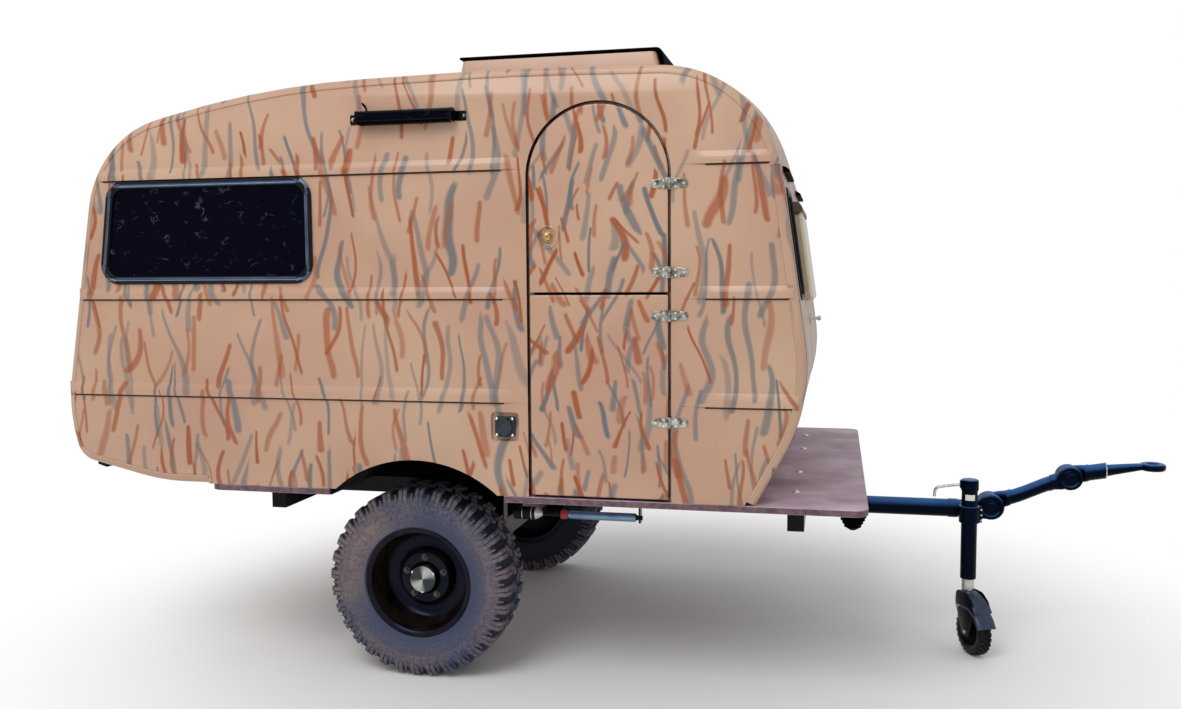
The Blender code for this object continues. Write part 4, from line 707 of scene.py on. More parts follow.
# %% Clear acrylic
# The pale yellow base colour is a painted reflection of the surroundings
CLEAR, clear_tree, clear_shader = new_material(
    "clear acrylic", "EFE3C4", 0.05, transmission_weight=0.55, ior=1.49
)
cloud = add_node(clear_tree, "TexNoise", {"Scale": 14.0, "Detail": 3.0})
haze = add_node(clear_tree, "MapRange", [cloud, 0.4, 0.7, 0.04, 0.12])
feed(clear_shader, "Roughness", haze.outputs[0])
print("clear acrylic ready")

# %% [markdown]
# ## Film-faced ply
# The deck is building ply: birch veneers pressed under a phenol film that gives the red-brown colour. Feet
# have scratched it and dust has dulled it, so the gloss changes from place to place.

# %% Deck material
def film_faced_ply():
    material, tree, shader = new_material("film-faced ply", "8C7080", 0.4)
    where = add_node(tree, "TexCoord").outputs["Object"]
    wear_and_sheen = add_node(tree, "TexNoise", {"Vector": where, "Scale": 5.0, "Detail": 9.0})
    # Worn patches vary the shade; its pale lilac end is partly a painted sky sheen on the glossy film
    shade = add_node(tree, "ValToRGB", [wear_and_sheen])
    ramp = shade.color_ramp.elements
    ramp[0].position, ramp[0].color = 0.34, linear("8A6678")
    ramp[1].position, ramp[1].color = 0.7, linear("CDBBCE")
    # Scratches are hair-thin and run mostly along the deck
    drawn = add_node(tree, "VectorMath", [where, (3.0, 160.0, 1.0)], operation="MULTIPLY")
    marks = add_node(tree, "TexNoise", {"Vector": drawn, "Scale": 2.0, "Detail": 2.0})
    lines = add_node(tree, "MapRange", [marks, 0.64, 0.74, 0.0, 0.5])
    colour = add_node(
        tree, "Mix", {"Factor": lines, "A": shade.outputs["Color"], "B": linear("CDBEC6")}, data_type="RGBA"
    )
    feed(shader, "Base Color", colour.outputs["Result"])
    gloss = add_node(tree, "MapRange", [wear_and_sheen, 0.3, 0.7, 0.34, 0.56])
    feed(shader, "Roughness", gloss.outputs[0])
    return material


PLY = film_faced_ply()
print("ply ready")

# %% [markdown]
# ## Tyre rubber
# The tyres are black rubber under road dust. Dust gathers on the lugs' faces and in the rings of the
# sidewall, so each vertex carries a value for dust and painted shade, set from its radius as the tyre is
# made. It goes up to 1 for dust, and is below 0 where shade is painted in: in the grooves, at the blocks'
# feet and on the inner side.

# %% Tyre material
def tyre_rubber():
    material, tree, shader = new_material("tyre rubber", "383E50", 0.7, specular_ior_level=0.4)
    where = add_node(tree, "TexCoord").outputs["Object"]
    dust_and_shade_value = add_node(tree, "Attribute", attribute_name="dust_and_shade")
    blotch = add_node(tree, "TexNoise", {"Vector": where, "Scale": 5.0, "Detail": 7.0})
    speck = add_node(tree, "TexNoise", {"Vector": where, "Scale": 90.0, "Detail": 4.0})
    both = add_node(tree, "Math", [blotch, speck], operation="ADD")
    both = add_node(tree, "MapRange", [both, 0.75, 1.25, 0.0, 1.0])
    amount = add_node(tree, "Math", [dust_and_shade_value.outputs["Fac"], both], operation="MULTIPLY")
    # Below 0 the rubber takes a painted shade, as in the grooves and on the inner side
    unshaded = add_node(tree, "MapRange", [dust_and_shade_value.outputs["Fac"], -0.3, 0.05, 0.0, 1.0])
    # Near black is painted shade; the blue grey of the lit rubber is partly a painted sky sheen on black
    # rubber
    rubber = add_node(
        tree, "Mix", {"Factor": unshaded, "A": linear("0D0E13"), "B": linear("3A435E")}, data_type="RGBA"
    )
    colour = add_node(tree, "Mix", {"Factor": amount, "B": linear("98806F")}, data_type="RGBA")
    feed(colour, "A", rubber.outputs["Result"])
    feed(shader, "Base Color", colour.outputs["Result"])
    relief = add_node(tree, "Bump", {"Strength": 0.25, "Distance": 0.001, "Height": speck})
    feed(shader, "Normal", relief.outputs["Normal"])
    return material


TYRE = tyre_rubber()
print("tyre rubber ready")

# %% [markdown]
# ## Body shell
# The shell is one moulding in five panels. Its side profile is a chain of straight runs and arcs, and each
# panel sweeps a section along part of it: a rounded edge towards each side, with a thin raised bead where
# the side panel is set in, and a roof that rises a little to the middle so that rain runs off.

# %% Side profile
BODY_FOOT = DECK_TOP + 0.0003
PANEL_JOINT_Z = 1.97
CROWN_FULL_Z = 2.28
ROOF_CROWN = 0.05
FRONT_FOOT_X = 1.331
REAR_FOOT_X = -0.83
# Columns: x, z, corner radius
PROFILE_CORNERS = (
    (1.529, 1.135, 0.65),
    (1.362, 2.317, 0.44),
    (0.45, 2.341, 8.0),
    (-0.541, 2.324, 4.0),
    (-1.295, 2.15, 0.42),
    (-1.476, 1.06, 0.6),
    (-1.422, 0.856, 0.1),
    (-1.048, BODY_FOOT, 0.9),
)
PROFILE = rounded(
    [(FRONT_FOOT_X, BODY_FOOT, 0)] + list(PROFILE_CORNERS) + [(REAR_FOOT_X, BODY_FOOT, 0)],
    closed=False, step=math.radians(3),
)
LENGTHS = [0.0]
for p, q in zip(PROFILE, PROFILE[1:]):
    LENGTHS.append(LENGTHS[-1] + (q - p).length)
print(f"profile of {len(PROFILE)} points, {LENGTHS[-1]:.2f} m long")


def cross_level(z, front, path=PROFILE):
    """Where the profile crosses a level: its place in the list, and the point itself."""
    for k, (p, q) in enumerate(zip(path, path[1:])):
        if (p.x > 0) == front and min(p.y, q.y) <= z < max(p.y, q.y):
            return k, p.lerp(q, (z - p.y) / (q.y - p.y))
    raise ValueError("the profile does not reach this level")


def smooth_step(value):
    value = min(1.0, max(0.0, value))
    return value * value * (3 - 2 * value)


# %% Swept panels
BEAD = mm((32.8, 0), (31.2, 2), (29.6, 3), (27.2, 3), (25, 1.2))
EDGE_SPANS = 6
FLAT_HALF = BODY_HALF - EDGE_R


def shell(path, spans):
    """A moulding that follows part of the profile from side to side, with beaded, rounded edges."""
    turns = [math.radians(80) * k / EDGE_SPANS for k in range(EDGE_SPANS, 0, -1)]
    edge = [(-BODY_HALF - proud, -depth) for depth, proud in BEAD]
    edge += [(-FLAT_HALF - EDGE_R * math.sin(a), EDGE_R * math.cos(a) - EDGE_R) for a in turns]
    middle_run = [(-FLAT_HALF + 2 * FLAT_HALF * k / spans, 0.0) for k in range(spans + 1)]
    section = edge + middle_run + [(-y, drop) for y, drop in reversed(edge)]
    mesh = bmesh.new()
    outers, inners = [], []
    for here, normal in zip(path, outward(path, closed=False)):
        share = smooth_step((here.y - PANEL_JOINT_Z) / (CROWN_FULL_Z - PANEL_JOINT_Z))
        outer, inner = [], []
        for y, drop in section:
            crown = ROOF_CROWN * share * max(0.0, 1 - (y / FLAT_HALF) ** 2)
            skin = here + normal * (drop + crown)
            back = here + normal * (crown - WALL)
            outer.append(mesh.verts.new((skin.x, y, skin.y)))
            inner.append(mesh.verts.new((back.x, min(BODY_HALF, max(-BODY_HALF, y)), back.y)))
        outers.append(outer)
        inners.append(inner)
    for k in range(len(path) - 1):
        bridge(mesh, outers[k], outers[k + 1], closed=False)
        bridge(mesh, inners[k], inners[k + 1], closed=False)
        for end in (0, -1):
            mesh.faces.new((outers[k][end], outers[k + 1][end], inners[k + 1][end], inners[k][end]))
    for end in (0, -1):
        bridge(mesh, outers[end], inners[end], closed=False)
    return mesh


print("moulding function ready")

# %% Places on the painter's plan
def along_profile(x, z):
    """Length along the profile to the point nearest to a place."""
    spot = Vector((x, z))
    best = (1e9, 0.0)
    for k, (p, q) in enumerate(zip(PROFILE, PROFILE[1:])):
        run = q - p
        share = min(1.0, max(0.0, (spot - p).dot(run) / run.length_squared))
        best = min(best, ((p + run * share - spot).length_squared, LENGTHS[k] + share * run.length))
    return best[1]


def paint_places(made, spot_of):
    """Gives every face corner its place on the painter's plan, in metres."""
    data = made.data
    values = []
    for face in data.polygons:
        for index in face.vertices:
            x, y, z = data.vertices[index].co
            values += (*spot_of(x - AXLE_X, y, z, face), 0.0)
    plan = data.attributes.new("paint_place", "FLOAT_VECTOR", "CORNER")
    plan.data.foreach_set("vector", values)


def side_spot(x, y, z, face):
    return (x if y < 0 else 6.3 - x, z)


def end_spot(x, y, z, face):
    return (y + 3.7 if x > 0 else 9.1 - y, z)


ROOF_START = along_profile(0.5, 2.4) + 0.5
ROOF_LENGTHS = {}


def roof_spot(x, y, z, face):
    """On the rounded edge the side's plan goes on; the rest of the roof is planned along its length."""
    if abs(face.center.y) > FLAT_HALF:
        return side_spot(x, y, z, face)
    spot = (round(x, 4), round(z, 4))
    if spot not in ROOF_LENGTHS:
        ROOF_LENGTHS[spot] = along_profile(*spot)
    return (ROOF_START - ROOF_LENGTHS[spot], y + BODY_HALF + 2.33)


print("painter's plan ready")

# %% [markdown]
# The front and rear walls slope, so windows and lamps there are made flat and then tilted with the wall.

# %% Frames of the sloping walls
def face_frame(high, low, level, front):
    """Turn that takes a flat piece on to a sloping wall, and how far up it each metre of height is."""
    up = (Vector(high[:2]) - Vector(low[:2])).normalized()
    spot = cross_level(level, front)[1]
    turn = Matrix.Translation((spot.x, 0.0, spot.y)) @ Matrix.Rotation(math.atan2(up.x, up.y), 4, "Y")
    return turn, lambda z: (z - level) / up.y


FRONT_TURN, front_level = face_frame(PROFILE_CORNERS[1], PROFILE_CORNERS[0], 1.5, True)
REAR_TURN, rear_level = face_frame(PROFILE_CORNERS[4], PROFILE_CORNERS[5], 1.45, False)
SEAL_WIDE = 0.028
PANE_R = 0.075
SIDE_WINDOW = ((-1.284, 1.57), (-0.353, 1.57), (-0.353, 1.97), (-1.233, 1.97))
REAR_WINDOW_HALF = BODY_HALF - 0.4465
VENT_HALF = 0.33
FRONT_PANES = (("right", 0.197 - BODY_HALF, -0.4), ("left", 0.4, BODY_HALF - 0.197))


def window_outline(corners, radius, shrink=0.0):
    return inset(rounded([(*c, radius) for c in corners]), shrink)


def upright(y0, y1, low, high, radius=PANE_R, shrink=0.0):
    return inset(rectangle(y0, y1, low, high, radius), shrink)


REAR_OPENING = (-REAR_WINDOW_HALF, REAR_WINDOW_HALF, rear_level(1.45), rear_level(1.83))
print("front and rear frames ready")

# %% Front wall
HATCH_X = (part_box("hatch_upstand")[0].x - AXLE_X, 0.893)
HATCH_HALF = 0.31
# How far a cutter reaches to each side of a sloping wall's face
CUT_REACH = (-0.1, 0.1)
VENT_LIP = 0.03


def fixed_pane(y0, y1, shrink=0.0):
    """The hole for a fixed front pane, less a trim all round."""
    return upright(y0, y1, front_level(1.5), front_level(1.9), 0.05, shrink)


front_end, front_point = cross_level(PANEL_JOINT_Z, True)
rear_end, rear_point = cross_level(PANEL_JOINT_Z, False)
# The walls end a millimetre under the roof, so that the joint shows
joint = Vector((0.0, 0.001))
front_wall = item("front_panel", shell(PROFILE[:front_end + 1] + [front_point - joint], 2))
holes = [fixed_pane(y0, y1) for name, y0, y1 in FRONT_PANES]
vent_low, vent_high = front_level(1.48) + VENT_LIP, front_level(1.835) - VENT_LIP
holes.append(upright(VENT_LIP - VENT_HALF, VENT_HALF - VENT_LIP, vent_low, vent_high, 0.03))
routed(front_wall, [item("cut_pane", prism(hole, "X", *CUT_REACH), FRONT_TURN) for hole in holes])
paint_places(front_wall, end_spot)
finished(front_wall, CAMOUFLAGE, "caravan", "front_wall")

# %% Roof shell
roof = item("roof_panel", shell([front_point] + PROFILE[front_end + 1:rear_end + 1] + [rear_point], 16))
hole = rectangle(HATCH_X[0] - 0.0003, HATCH_X[1] + 0.0003, -HATCH_HALF, HATCH_HALF, 0.02)
routed(roof, [item("cut_hatch", prism(hole, "Z", 2.2, 2.6))])
paint_places(roof, roof_spot)
finished(roof, CAMOUFLAGE, "caravan", "roof_shell")

# %% Rear wall
rear_wall = item("rear_panel", shell([rear_point - joint] + PROFILE[rear_end + 1:], 2))
routed(rear_wall, [item("cut_rear", prism(upright(*REAR_OPENING), "X", *CUT_REACH), REAR_TURN)])
paint_places(rear_wall, end_spot)
finished(rear_wall, CAMOUFLAGE, "caravan", "rear_wall")

# %% [markdown]
# ## Side walls
# Each side is a flat panel inside the shell's edge. It has the window, the wheel arch and, on the right, the
# doorway and the dish of the power inlet cut out, and three swages pressed into it. A swage stiffens a big
# flat panel. Its top edge slopes and catches the light; under its sharp lower edge is a painted dark shadow.

# %% Swages
ARCH_X = 0.048
ARCH_Z = AXLE_Z + 0.014
ARCH_R = 0.5
DOOR_X = (0.5, 1.032)
DOOR_SPRING_Z = 1.944
# Columns: top z, bottom z
SWAGES = ((2.02, 1.97), (1.55, 1.5), (1.172, 1.115))
SWAGE_STOPS = (0.485, 1.075)
# Columns: share of the way down, distance out of the wall
SWAGE_SECTION = (
    (0.0, -0.004), (0.0, 0.0002), (0.05, 0.0014), (0.38, 0.0088), (0.46, 0.0096), (0.83, 0.01),
    (0.868, 0.0095), (0.878, 0.008), (0.878, 0.0004), (1.0, 0.0004), (1.0, -0.004),
)
# How far an end takes to rise out of the wall, and its stations as shares of that
POINTED_RUN, BLUNT_RUN = 0.13, 0.04
RUN_SHARES = (0.0, 0.15, 0.35, 0.6, 1.0)


def swage(side, x0, x1, top, bottom, points):
    """A raised band; at an end that is named in points it runs out to a point, as by the door."""
    stations = []
    for k, (x, inward) in enumerate(((x0, 1), (x1, -1))):
        run, rise = (POINTED_RUN, smooth_step) if k in points else (BLUNT_RUN, math.sqrt)
        stations += [(x + inward * run * share, rise(share)) for share in RUN_SHARES][::inward]
    sections = []
    for x, height in stations:
        proud = [out if out < 0 else out * max(height, 0.02) for down, out in SWAGE_SECTION]
        levels = [top + (bottom - top) * down for down, out in SWAGE_SECTION]
        sections.append([(x, side * (BODY_HALF + out), z) for out, z in zip(proud, levels)])
    return through(sections)


print("swages ready")

# %% Doorway and the grooves of the swages
INLET_X, INLET_Z = 0.4095, 1.0315
INLET_DEEP = 0.014


def doorway(gap, low, high=None):
    """The doorway's outline less a gap all round; with high it stops there with a flat top."""
    rear, front = DOOR_X[0] + gap, DOOR_X[1] - gap
    if high is not None:
        return rectangle(rear, front, low, high, 0.008)
    top = arc(((rear + front) / 2, DOOR_SPRING_Z), (front - rear) / 2, 0, math.pi, math.radians(3))
    return [Vector((rear, low)), Vector((front, low))] + top


def in_jamb(spot, normal):
    """Whether a face lines the doorway, where a black seal is glued in; its black also paints the shade deep
    in the gap.
    """
    within = spot.y < 0 and spot.z < 2.24 and DOOR_X[0] - 0.022 < spot.x < DOOR_X[1] + 0.022
    on_stop = spot.y > WALL - BODY_HALF - 0.0005
    return within and (abs(normal.y) < 0.5 or on_stop) and on_doorway(spot)


def in_swage_shadow(spot, normal):
    """Whether a face is the narrow groove at a swage's foot, which takes a painted dark brown shadow."""
    out = abs(spot.y) - BODY_HALF
    at_foot = any(-0.0002 < spot.z - bottom < 0.0075 for top, bottom in SWAGES)
    bed = abs(normal.y) > 0.9 and out < 0.0008
    return at_foot and 0.0002 < out < 0.01 and (bed or normal.z < -0.7)


def on_doorway(spot):
    """Whether a place is near the doorway's outline, not on the wall above or on a swage."""
    middle_x, half = sum(DOOR_X) / 2, (DOOR_X[1] - DOOR_X[0]) / 2
    if spot.z < DOOR_SPRING_Z:
        return abs(abs(spot.x - middle_x) - half) < 0.023
    return abs(math.hypot(spot.x - middle_x, spot.z - DOOR_SPRING_Z) - half) < 0.023


print("doorway ready")

# %% Right and left side panels
def side_wall(side, name):
    skin = inset(PROFILE, WALL + 0.001, closed=False)
    foot_x = skin[0].x - (skin[0].y - BODY_FOOT) * (skin[1].x - skin[0].x) / (skin[1].y - skin[0].y)
    outline = [Vector((foot_x, BODY_FOOT))] + skin[:-1]
    outline += [Vector((REAR_FOOT_X + 0.001, skin[-1].y)), Vector((REAR_FOOT_X + 0.001, BODY_FOOT))]
    inner, outer = side * (BODY_HALF - WALL), side * BODY_HALF
    wall = item(f"side_panel_{name}", prism(outline, "Y", *sorted((inner, outer))))
    reach = sorted((inner - side * WALL, outer + side * WALL))
    rise = math.asin((DECK_LOW.z - ARCH_Z) / ARCH_R)
    wheel_cut = arc((ARCH_X, ARCH_Z), ARCH_R, rise, math.pi - rise, math.radians(3))
    cutters = [
        item("cut_window", prism(window_outline(SIDE_WINDOW, PANE_R), "Y", *reach)),
        item("cut_arch", prism(wheel_cut + [Vector((ARCH_X, ARCH_Z))], "Y", *reach)),
    ]
    if side < 0:
        around = square_at(INLET_X, INLET_Z, 0.045, 0.006)
        levels = ((-0.0045, INLET_DEEP), (-0.009, 0.0), (-0.01, -0.001), (-0.01, -WALL))
        dish = stepped(around, [(trim, along - BODY_HALF) for trim, along in levels])
        cutters += [item("cut_door", prism(doorway(0.0, DECK_LOW.z), "Y", *reach)), item("cut_dish", dish)]
    routed(wall, cutters, bevel=0.0012)
    parts = [taken(wall)]
    for top, bottom in SWAGES:
        rear = max(cross_level(z, False, skin)[1].x for z in (top, bottom)) - 0.024
        front = min(cross_level(z, True, skin)[1].x for z in (top, bottom)) + 0.024
        if side < 0:
            parts.append(swage(side, rear, SWAGE_STOPS[0], top, bottom, (1,)))
            parts.append(swage(side, SWAGE_STOPS[1], front, top, bottom, (0,)))
        else:
            parts.append(swage(side, rear, front, top, bottom, ()))
    if side < 0:
        wide, narrow = doorway(-0.02, BODY_FOOT), doorway(0.02, BODY_FOOT)
        stop = wide[1:] + wide[:1] + narrow[:1] + narrow[:0:-1]
        parts.append(prism(stop, "Y", inner - side * 0.014, inner + side * 0.0003))
    wall = item(f"side_panel_{name}", merged(*parts))
    paint_places(wall, side_spot)
    finished(wall, CAMOUFLAGE, "caravan", f"side_wall_{name}")
    if side < 0:
        # The jamb and stop take black rubber, which also paints the shade in the door gap
        second_finish(wall, RUBBER, in_jamb)
    # The groove at each swage's foot takes a painted dark brown shadow
    second_finish(wall, SWAGE_SHADOW_PAINT, in_swage_shadow)


for side, name in SIDES:
    side_wall(side, name)

# %% [markdown]
# ## Doors
# The doorway has a round top, and its door is split so that the upper leaf can stand open alone. Each leaf is
# a slab of the same moulding with a soft edge, which shows as a pale rim beside the black gap.

# %% Door leaves
DOOR_GAP = 0.01
DOOR_SPLIT_Z = 1.524
DOOR_SKIN = 0.001 - BODY_HALF
LOCK_X, LOCK_Z = 0.579, 1.73


def leaf_slab(*levels):
    """A leaf of the door, 25 mm thick with a 6 mm edge, from its lowest level up."""
    return soft_prism(doorway(DOOR_GAP, *levels), "Y", DOOR_SKIN + 0.025, DOOR_SKIN, 0.006, 4)


upper = item("door_leaf_upper", leaf_slab(DOOR_SPLIT_Z + 0.004))
# Columns: distance in from the skin, radius
LOCK_DISH = ((-0.02, 0.0), (-0.02, 0.035), (0.0, 0.035), (0.0065, 0.0325), (0.008, 0.03), (0.008, 0.0))
LOCK_RIM = mm((1.5, 34.5), (-3, 34.8), (-5.5, 37.5), (-4.5, 41.5), (-1, 44.5), (1.5, 45))
dish = turned(from_face(LOCK_DISH, DOOR_SKIN), "Y", (LOCK_X, 0.0, LOCK_Z))
routed(upper, [item("cut_lock", dish)])
rim = turned(from_face(LOCK_RIM, DOOR_SKIN), "Y", (LOCK_X, 0.0, LOCK_Z), loop=True)
upper = item("door_leaf_upper", merged(taken(upper), rim))
lock_at = Vector((LOCK_X, LOCK_Z))
paint_places(upper, side_spot)
finished(upper, DOOR_CAMOUFLAGE, "door_upper", "door_upper")
# The leaf's sides take black rubber, which also paints the shade in the door gap
second_finish(upper, RUBBER, lambda spot, normal: abs(normal.y) < 0.3 and (spot.xz - lock_at).length > 0.06)
lower = item("door_leaf_lower", leaf_slab(0.78, DOOR_SPLIT_Z - 0.004))
paint_places(lower, side_spot)
finished(lower, DOOR_CAMOUFLAGE, "door_lower", "door_lower")
# The leaf's sides take black rubber, which also paints the shade in the door gap
second_finish(lower, RUBBER, lambda spot, normal: abs(normal.y) < 0.3)

# %% [markdown]
# ## Windows
# Each side and rear pane sits in an EPDM profile that clamps on to the wall's edge. Its lips and the groove
# of its filler strip show as rings, so the seal is one section swept round the window's outline.

# %% Window seals and panes
# Columns: how far inside the hole, how far out of the wall
SEAL_SECTION = (
    (0.0004, -WALL), (0.0004, 0.001), (-0.004, 0.0015), (-0.004, 0.004), (0.0, 0.0085), (0.005, 0.01),
    (0.01, 0.0085), (0.0125, 0.006), (0.015, 0.006), (0.018, 0.009), (0.022, 0.009), (0.026, 0.006),
    (0.028, 0.001), (0.028, -WALL),
)


def seal(outline_of, axis, skin, way):
    return stacked([(outline_of(inside), skin + way * out) for inside, out in SEAL_SECTION], axis, loop=True)


def window_depth(x, z):
    """How far a place is inside the side window's outline, by its nearest edge."""
    corners = [Vector(c) for c in SIDE_WINDOW]
    depths = []
    for p, q in zip(corners, corners[1:] + corners[:1]):
        along = (q - p).normalized()
        depths.append(along.x * (z - p.y) - along.y * (x - p.x))
    return min(depths)


def in_seal_highlight(spot, normal):
    """Whether a face lies in the middle of the seal's front, where a bluish grey highlight is painted on the
    rubber.
    """
    return abs(spot.y) > BODY_HALF + 0.0035 and 0.0085 < window_depth(spot.x, spot.z) < 0.0205


for side, name in SIDES:
    ring = seal(lambda trim: window_outline(SIDE_WINDOW, PANE_R, trim), "Y", side * BODY_HALF, side)
    ring = piece(f"window_rubber_{name}", ring, RUBBER, "caravan", f"side_window_seal_{name}")
    second_finish(ring, SEAL_HIGHLIGHT, in_seal_highlight)
ring = seal(lambda trim: upright(*REAR_OPENING, shrink=trim), "X", 0.0, -1)
piece("window_rubber_rear", ring, RUBBER, "caravan", "rear_window_seal", turn=REAR_TURN)
dress(ACRYLIC, "side_window_right", "side_window_left", "rear_window")
dress(ACRYLIC, "front_window_right", "front_window_left")
dress(CLEAR, "front_window_middle")
dress(BROWN_PLASTIC, "front_window_rail")

# %% [markdown]
# ## Tyres
# Off-road tyres have deep blocks across the tread and bars down the shoulders that bite into mud. The casing
# is a section turned round the hub. Each block is a short loft along the casing's curve, and the blocks are
# laid round in a ring by a loop. The two halves of the tread stand half a pitch apart.

# %% Sizes of a tyre
TYRE_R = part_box("tyre_right")[1].z - AXLE_Z
LUG_COUNT = 32
# Columns: distance from the tyre's middle plane, radius; from the bead to the middle of the tread
CASING = mm(
    (101, 204.5), (103, 218), (106.5, 222.5), (110, 224.5), (111.8, 227.5), (111.2, 232), (113.5, 236),
    (114, 240), (113, 242.5), (117.5, 256), (119.5, 270), (120.5, 286), (120.3, 299), (121.5, 301),
    (121.5, 304), (120, 306), (119.5, 318), (118, 333), (113, 348), (102, 360), (85, 366), (45, 368),
    (0, 368.5),
)
CASING_STEPS = 144
# Bars down the shoulder: distance from the middle plane, radius, tilt of the face outwards
BAR_ROUTE = (
    (0.056, 0.3795, 0.0), (0.088, 0.3785, 0.1), (0.102, 0.3735, 0.4), (0.112, 0.361, 0.75),
    (0.1205, 0.342, 1.15), (0.1222, 0.33, 1.4), (0.1218, 0.319, 1.57),
)
BAR_DEEP = 0.013
# Bars in a pitch: place in it, width, first and last station, lean of the tread part
BARS = ((0.12, 0.0185, 0, 6, 0.006), (0.4, 0.0165, 0, 5, 0.006), (0.74, 0.009, 3, 6, 0.0))
# Values of painted shade on the rubber: in the grooves and on the inner side, and at the foot of a block
PAINTED_SHADE_VALUE, FOOT_SHADE_VALUE = -0.25, -0.12
BLOCK_R = 0.3798
# Blocks in the middle of the tread: place in the pitch, from, to, width, lean
BLOCKS = ((0.22, 0.006, 0.024, 0.03, -0.01), (0.3, 0.028, 0.05, 0.024, 0.012))
print(f"tyre of radius {TYRE_R:.3f} with {LUG_COUNT} lugs a side")

# %% One bar of the tread
def dust_and_shade_of(radius):
    """Dust lies in the rings by the shoulder and less further in; the grooves take painted shade."""
    if radius > 0.345:
        return PAINTED_SHADE_VALUE
    if radius > 0.292:
        return 0.5
    return 0.06 + 0.16 * max(0.0, (radius - 0.24) / 0.05)


def on_tyre(side, half, turn, away, radius):
    """A place on the tyre: half is +1 or -1 along Y, turn starts straight down."""
    return (radius * math.sin(turn), side * TRACK_HALF + half * away, AXLE_Z - radius * math.cos(turn))


def bar(mesh, side, half, turn, width, stations, lean, dust_and_shade):
    """One rubber bar or block: a tapered loft along the stations of its half of the tyre."""
    rings = []
    for k, (away, radius, tilt) in enumerate(stations):
        shift = lean * (1 - k / (len(stations) - 1))
        base_away = away - BAR_DEEP * math.sin(tilt)
        base_radius = radius - BAR_DEEP * math.cos(tilt)
        top_half = width / 2 - (0.0025 if k in (0, len(stations) - 1) else 0.001)
        base_half = width / 2 + 0.0015
        top_dust = 0.62 if radius > 0.35 or away > 0.115 else 0.35
        # A block's foot takes painted shade, its top dust
        foot, top = (base_away, base_radius, FOOT_SHADE_VALUE), (away, radius, top_dust)
        corners = ((-base_half, foot), (-top_half, top), (top_half, top), (base_half, foot))
        ring = []
        for across, (y, r, mark) in corners:
            ring.append(mesh.verts.new(on_tyre(side, half, turn + (across + shift) / TYRE_R, y, r)))
            ring[-1][dust_and_shade] = mark
        rings.append(ring)
    skinned(mesh, rings)


print("bars ready")

# %% Both tyres
def tyre(side, name, body):
    mesh = bmesh.new()
    dust_and_shade = mesh.verts.layers.float.new("dust_and_shade")
    section = list(CASING) + [(-away, radius) for away, radius in reversed(CASING[:-1])]
    rings = []
    for away, radius in section:
        ring = []
        for k in range(CASING_STEPS):
            turn = math.tau * k / CASING_STEPS
            vertex = mesh.verts.new(on_tyre(side, 1, turn, away, radius))
            # On the upper rear part of the sidewall, near the rim, the rubber is lighter and browner
            browner_share = max(0.0, math.cos(turn + math.radians(125))) ** 2 if 0.225 < radius < 0.295 else 0.0
            # The tyre's inner side takes painted shade
            vertex[dust_and_shade] = min(1.0, dust_and_shade_of(radius) + 0.5 * browner_share) if away * side > -0.05 else PAINTED_SHADE_VALUE
            ring.append(vertex)
        rings.append(ring)
    skinned(mesh, rings, loop=True)
    pitch = math.tau / LUG_COUNT
    for half, phase in ((1, 0.0), (-1, 0.5)):
        for k in range(LUG_COUNT):
            for spot, width, first, last, lean in BARS:
                turn = (k + phase + spot - 0.02) * pitch
                bar(mesh, side, half, turn, width, BAR_ROUTE[first:last + 1], lean, dust_and_shade)
            for spot, near, far, width, lean in BLOCKS:
                turn = (k + phase + spot) * pitch
                route = ((near, BLOCK_R, 0.0), (far, BLOCK_R, 0.0))
                bar(mesh, side, half, turn, width, route, lean, dust_and_shade)
    return piece(f"mud_tyre_{name}", mesh, TYRE, body, f"tyre_{name}", sharp=math.radians(28))


for side, name in SIDES:
    tyre(side, name, f"wheel_{name}")

# %% [markdown]
# ## Rims and hubs
# The rims are pressed steel, enamelled black. The well and the dished centre are one turned section with
# soft corners. Five nuts stand in a ring round the turned aluminium cap.

# %% Rims
# Columns: distance out of the middle plane, radius; the outer side runs from the bead to the bore
RIM_FACE_SECTION = mm(
    (97.5, 203), (98.5, 218), (100, 220.5), (103, 221.5), (105.5, 220.5), (106.5, 217), (106.2, 212),
    (103, 204), (98.5, 199), (90, 197.2), (50, 194), (15, 189), (-8, 183), (-21, 172), (-28, 156),
    (-30.5, 140), (-30, 125), (-26, 115), (-15, 112), (8, 107), (20, 103.5), (25, 100), (26.5, 95),
    (26.2, 66), (24, 63), (15, 62),
)
RIM_BACK_SECTION = mm(
    (10, 62), (10, 90), (-30, 112), (-36, 140), (-30, 172), (-45, 198), (-101.5, 198), (-106.5, 216),
    (-105, 220.5), (-100, 220.5), (-98.5, 204), (-45, 203), (-30, 196), (40, 199), (55, 203),
)
NUT_RING_R = 0.082
NUT_OUT = 0.0265


def nut(turn, side):
    """A wheel nut with its flange and rounded stud, square to the disc."""
    x, z = NUT_RING_R * math.sin(turn), NUT_RING_R * math.cos(turn) + AXLE_Z
    seat = side * (TRACK_HALF + NUT_OUT)
    hexagon = circle((x, z), 0.0095, 6)
    flange = mm((-2, 0), (-2, 13.5), (2, 13), (3, 0))
    stud = mm((0, 0), (0, 5), (16, 5), (17.5, 3), (17.5, 0))
    return merged(
        soft_prism(hexagon, "Y", seat - side * 0.002, seat + side * 0.011, 0.0015, 2),
        turned(from_face(flange, seat, side), "Y", (x, 0.0, z), 24),
        turned(from_face(stud, seat, side), "Y", (x, 0.0, z), 16),
    )


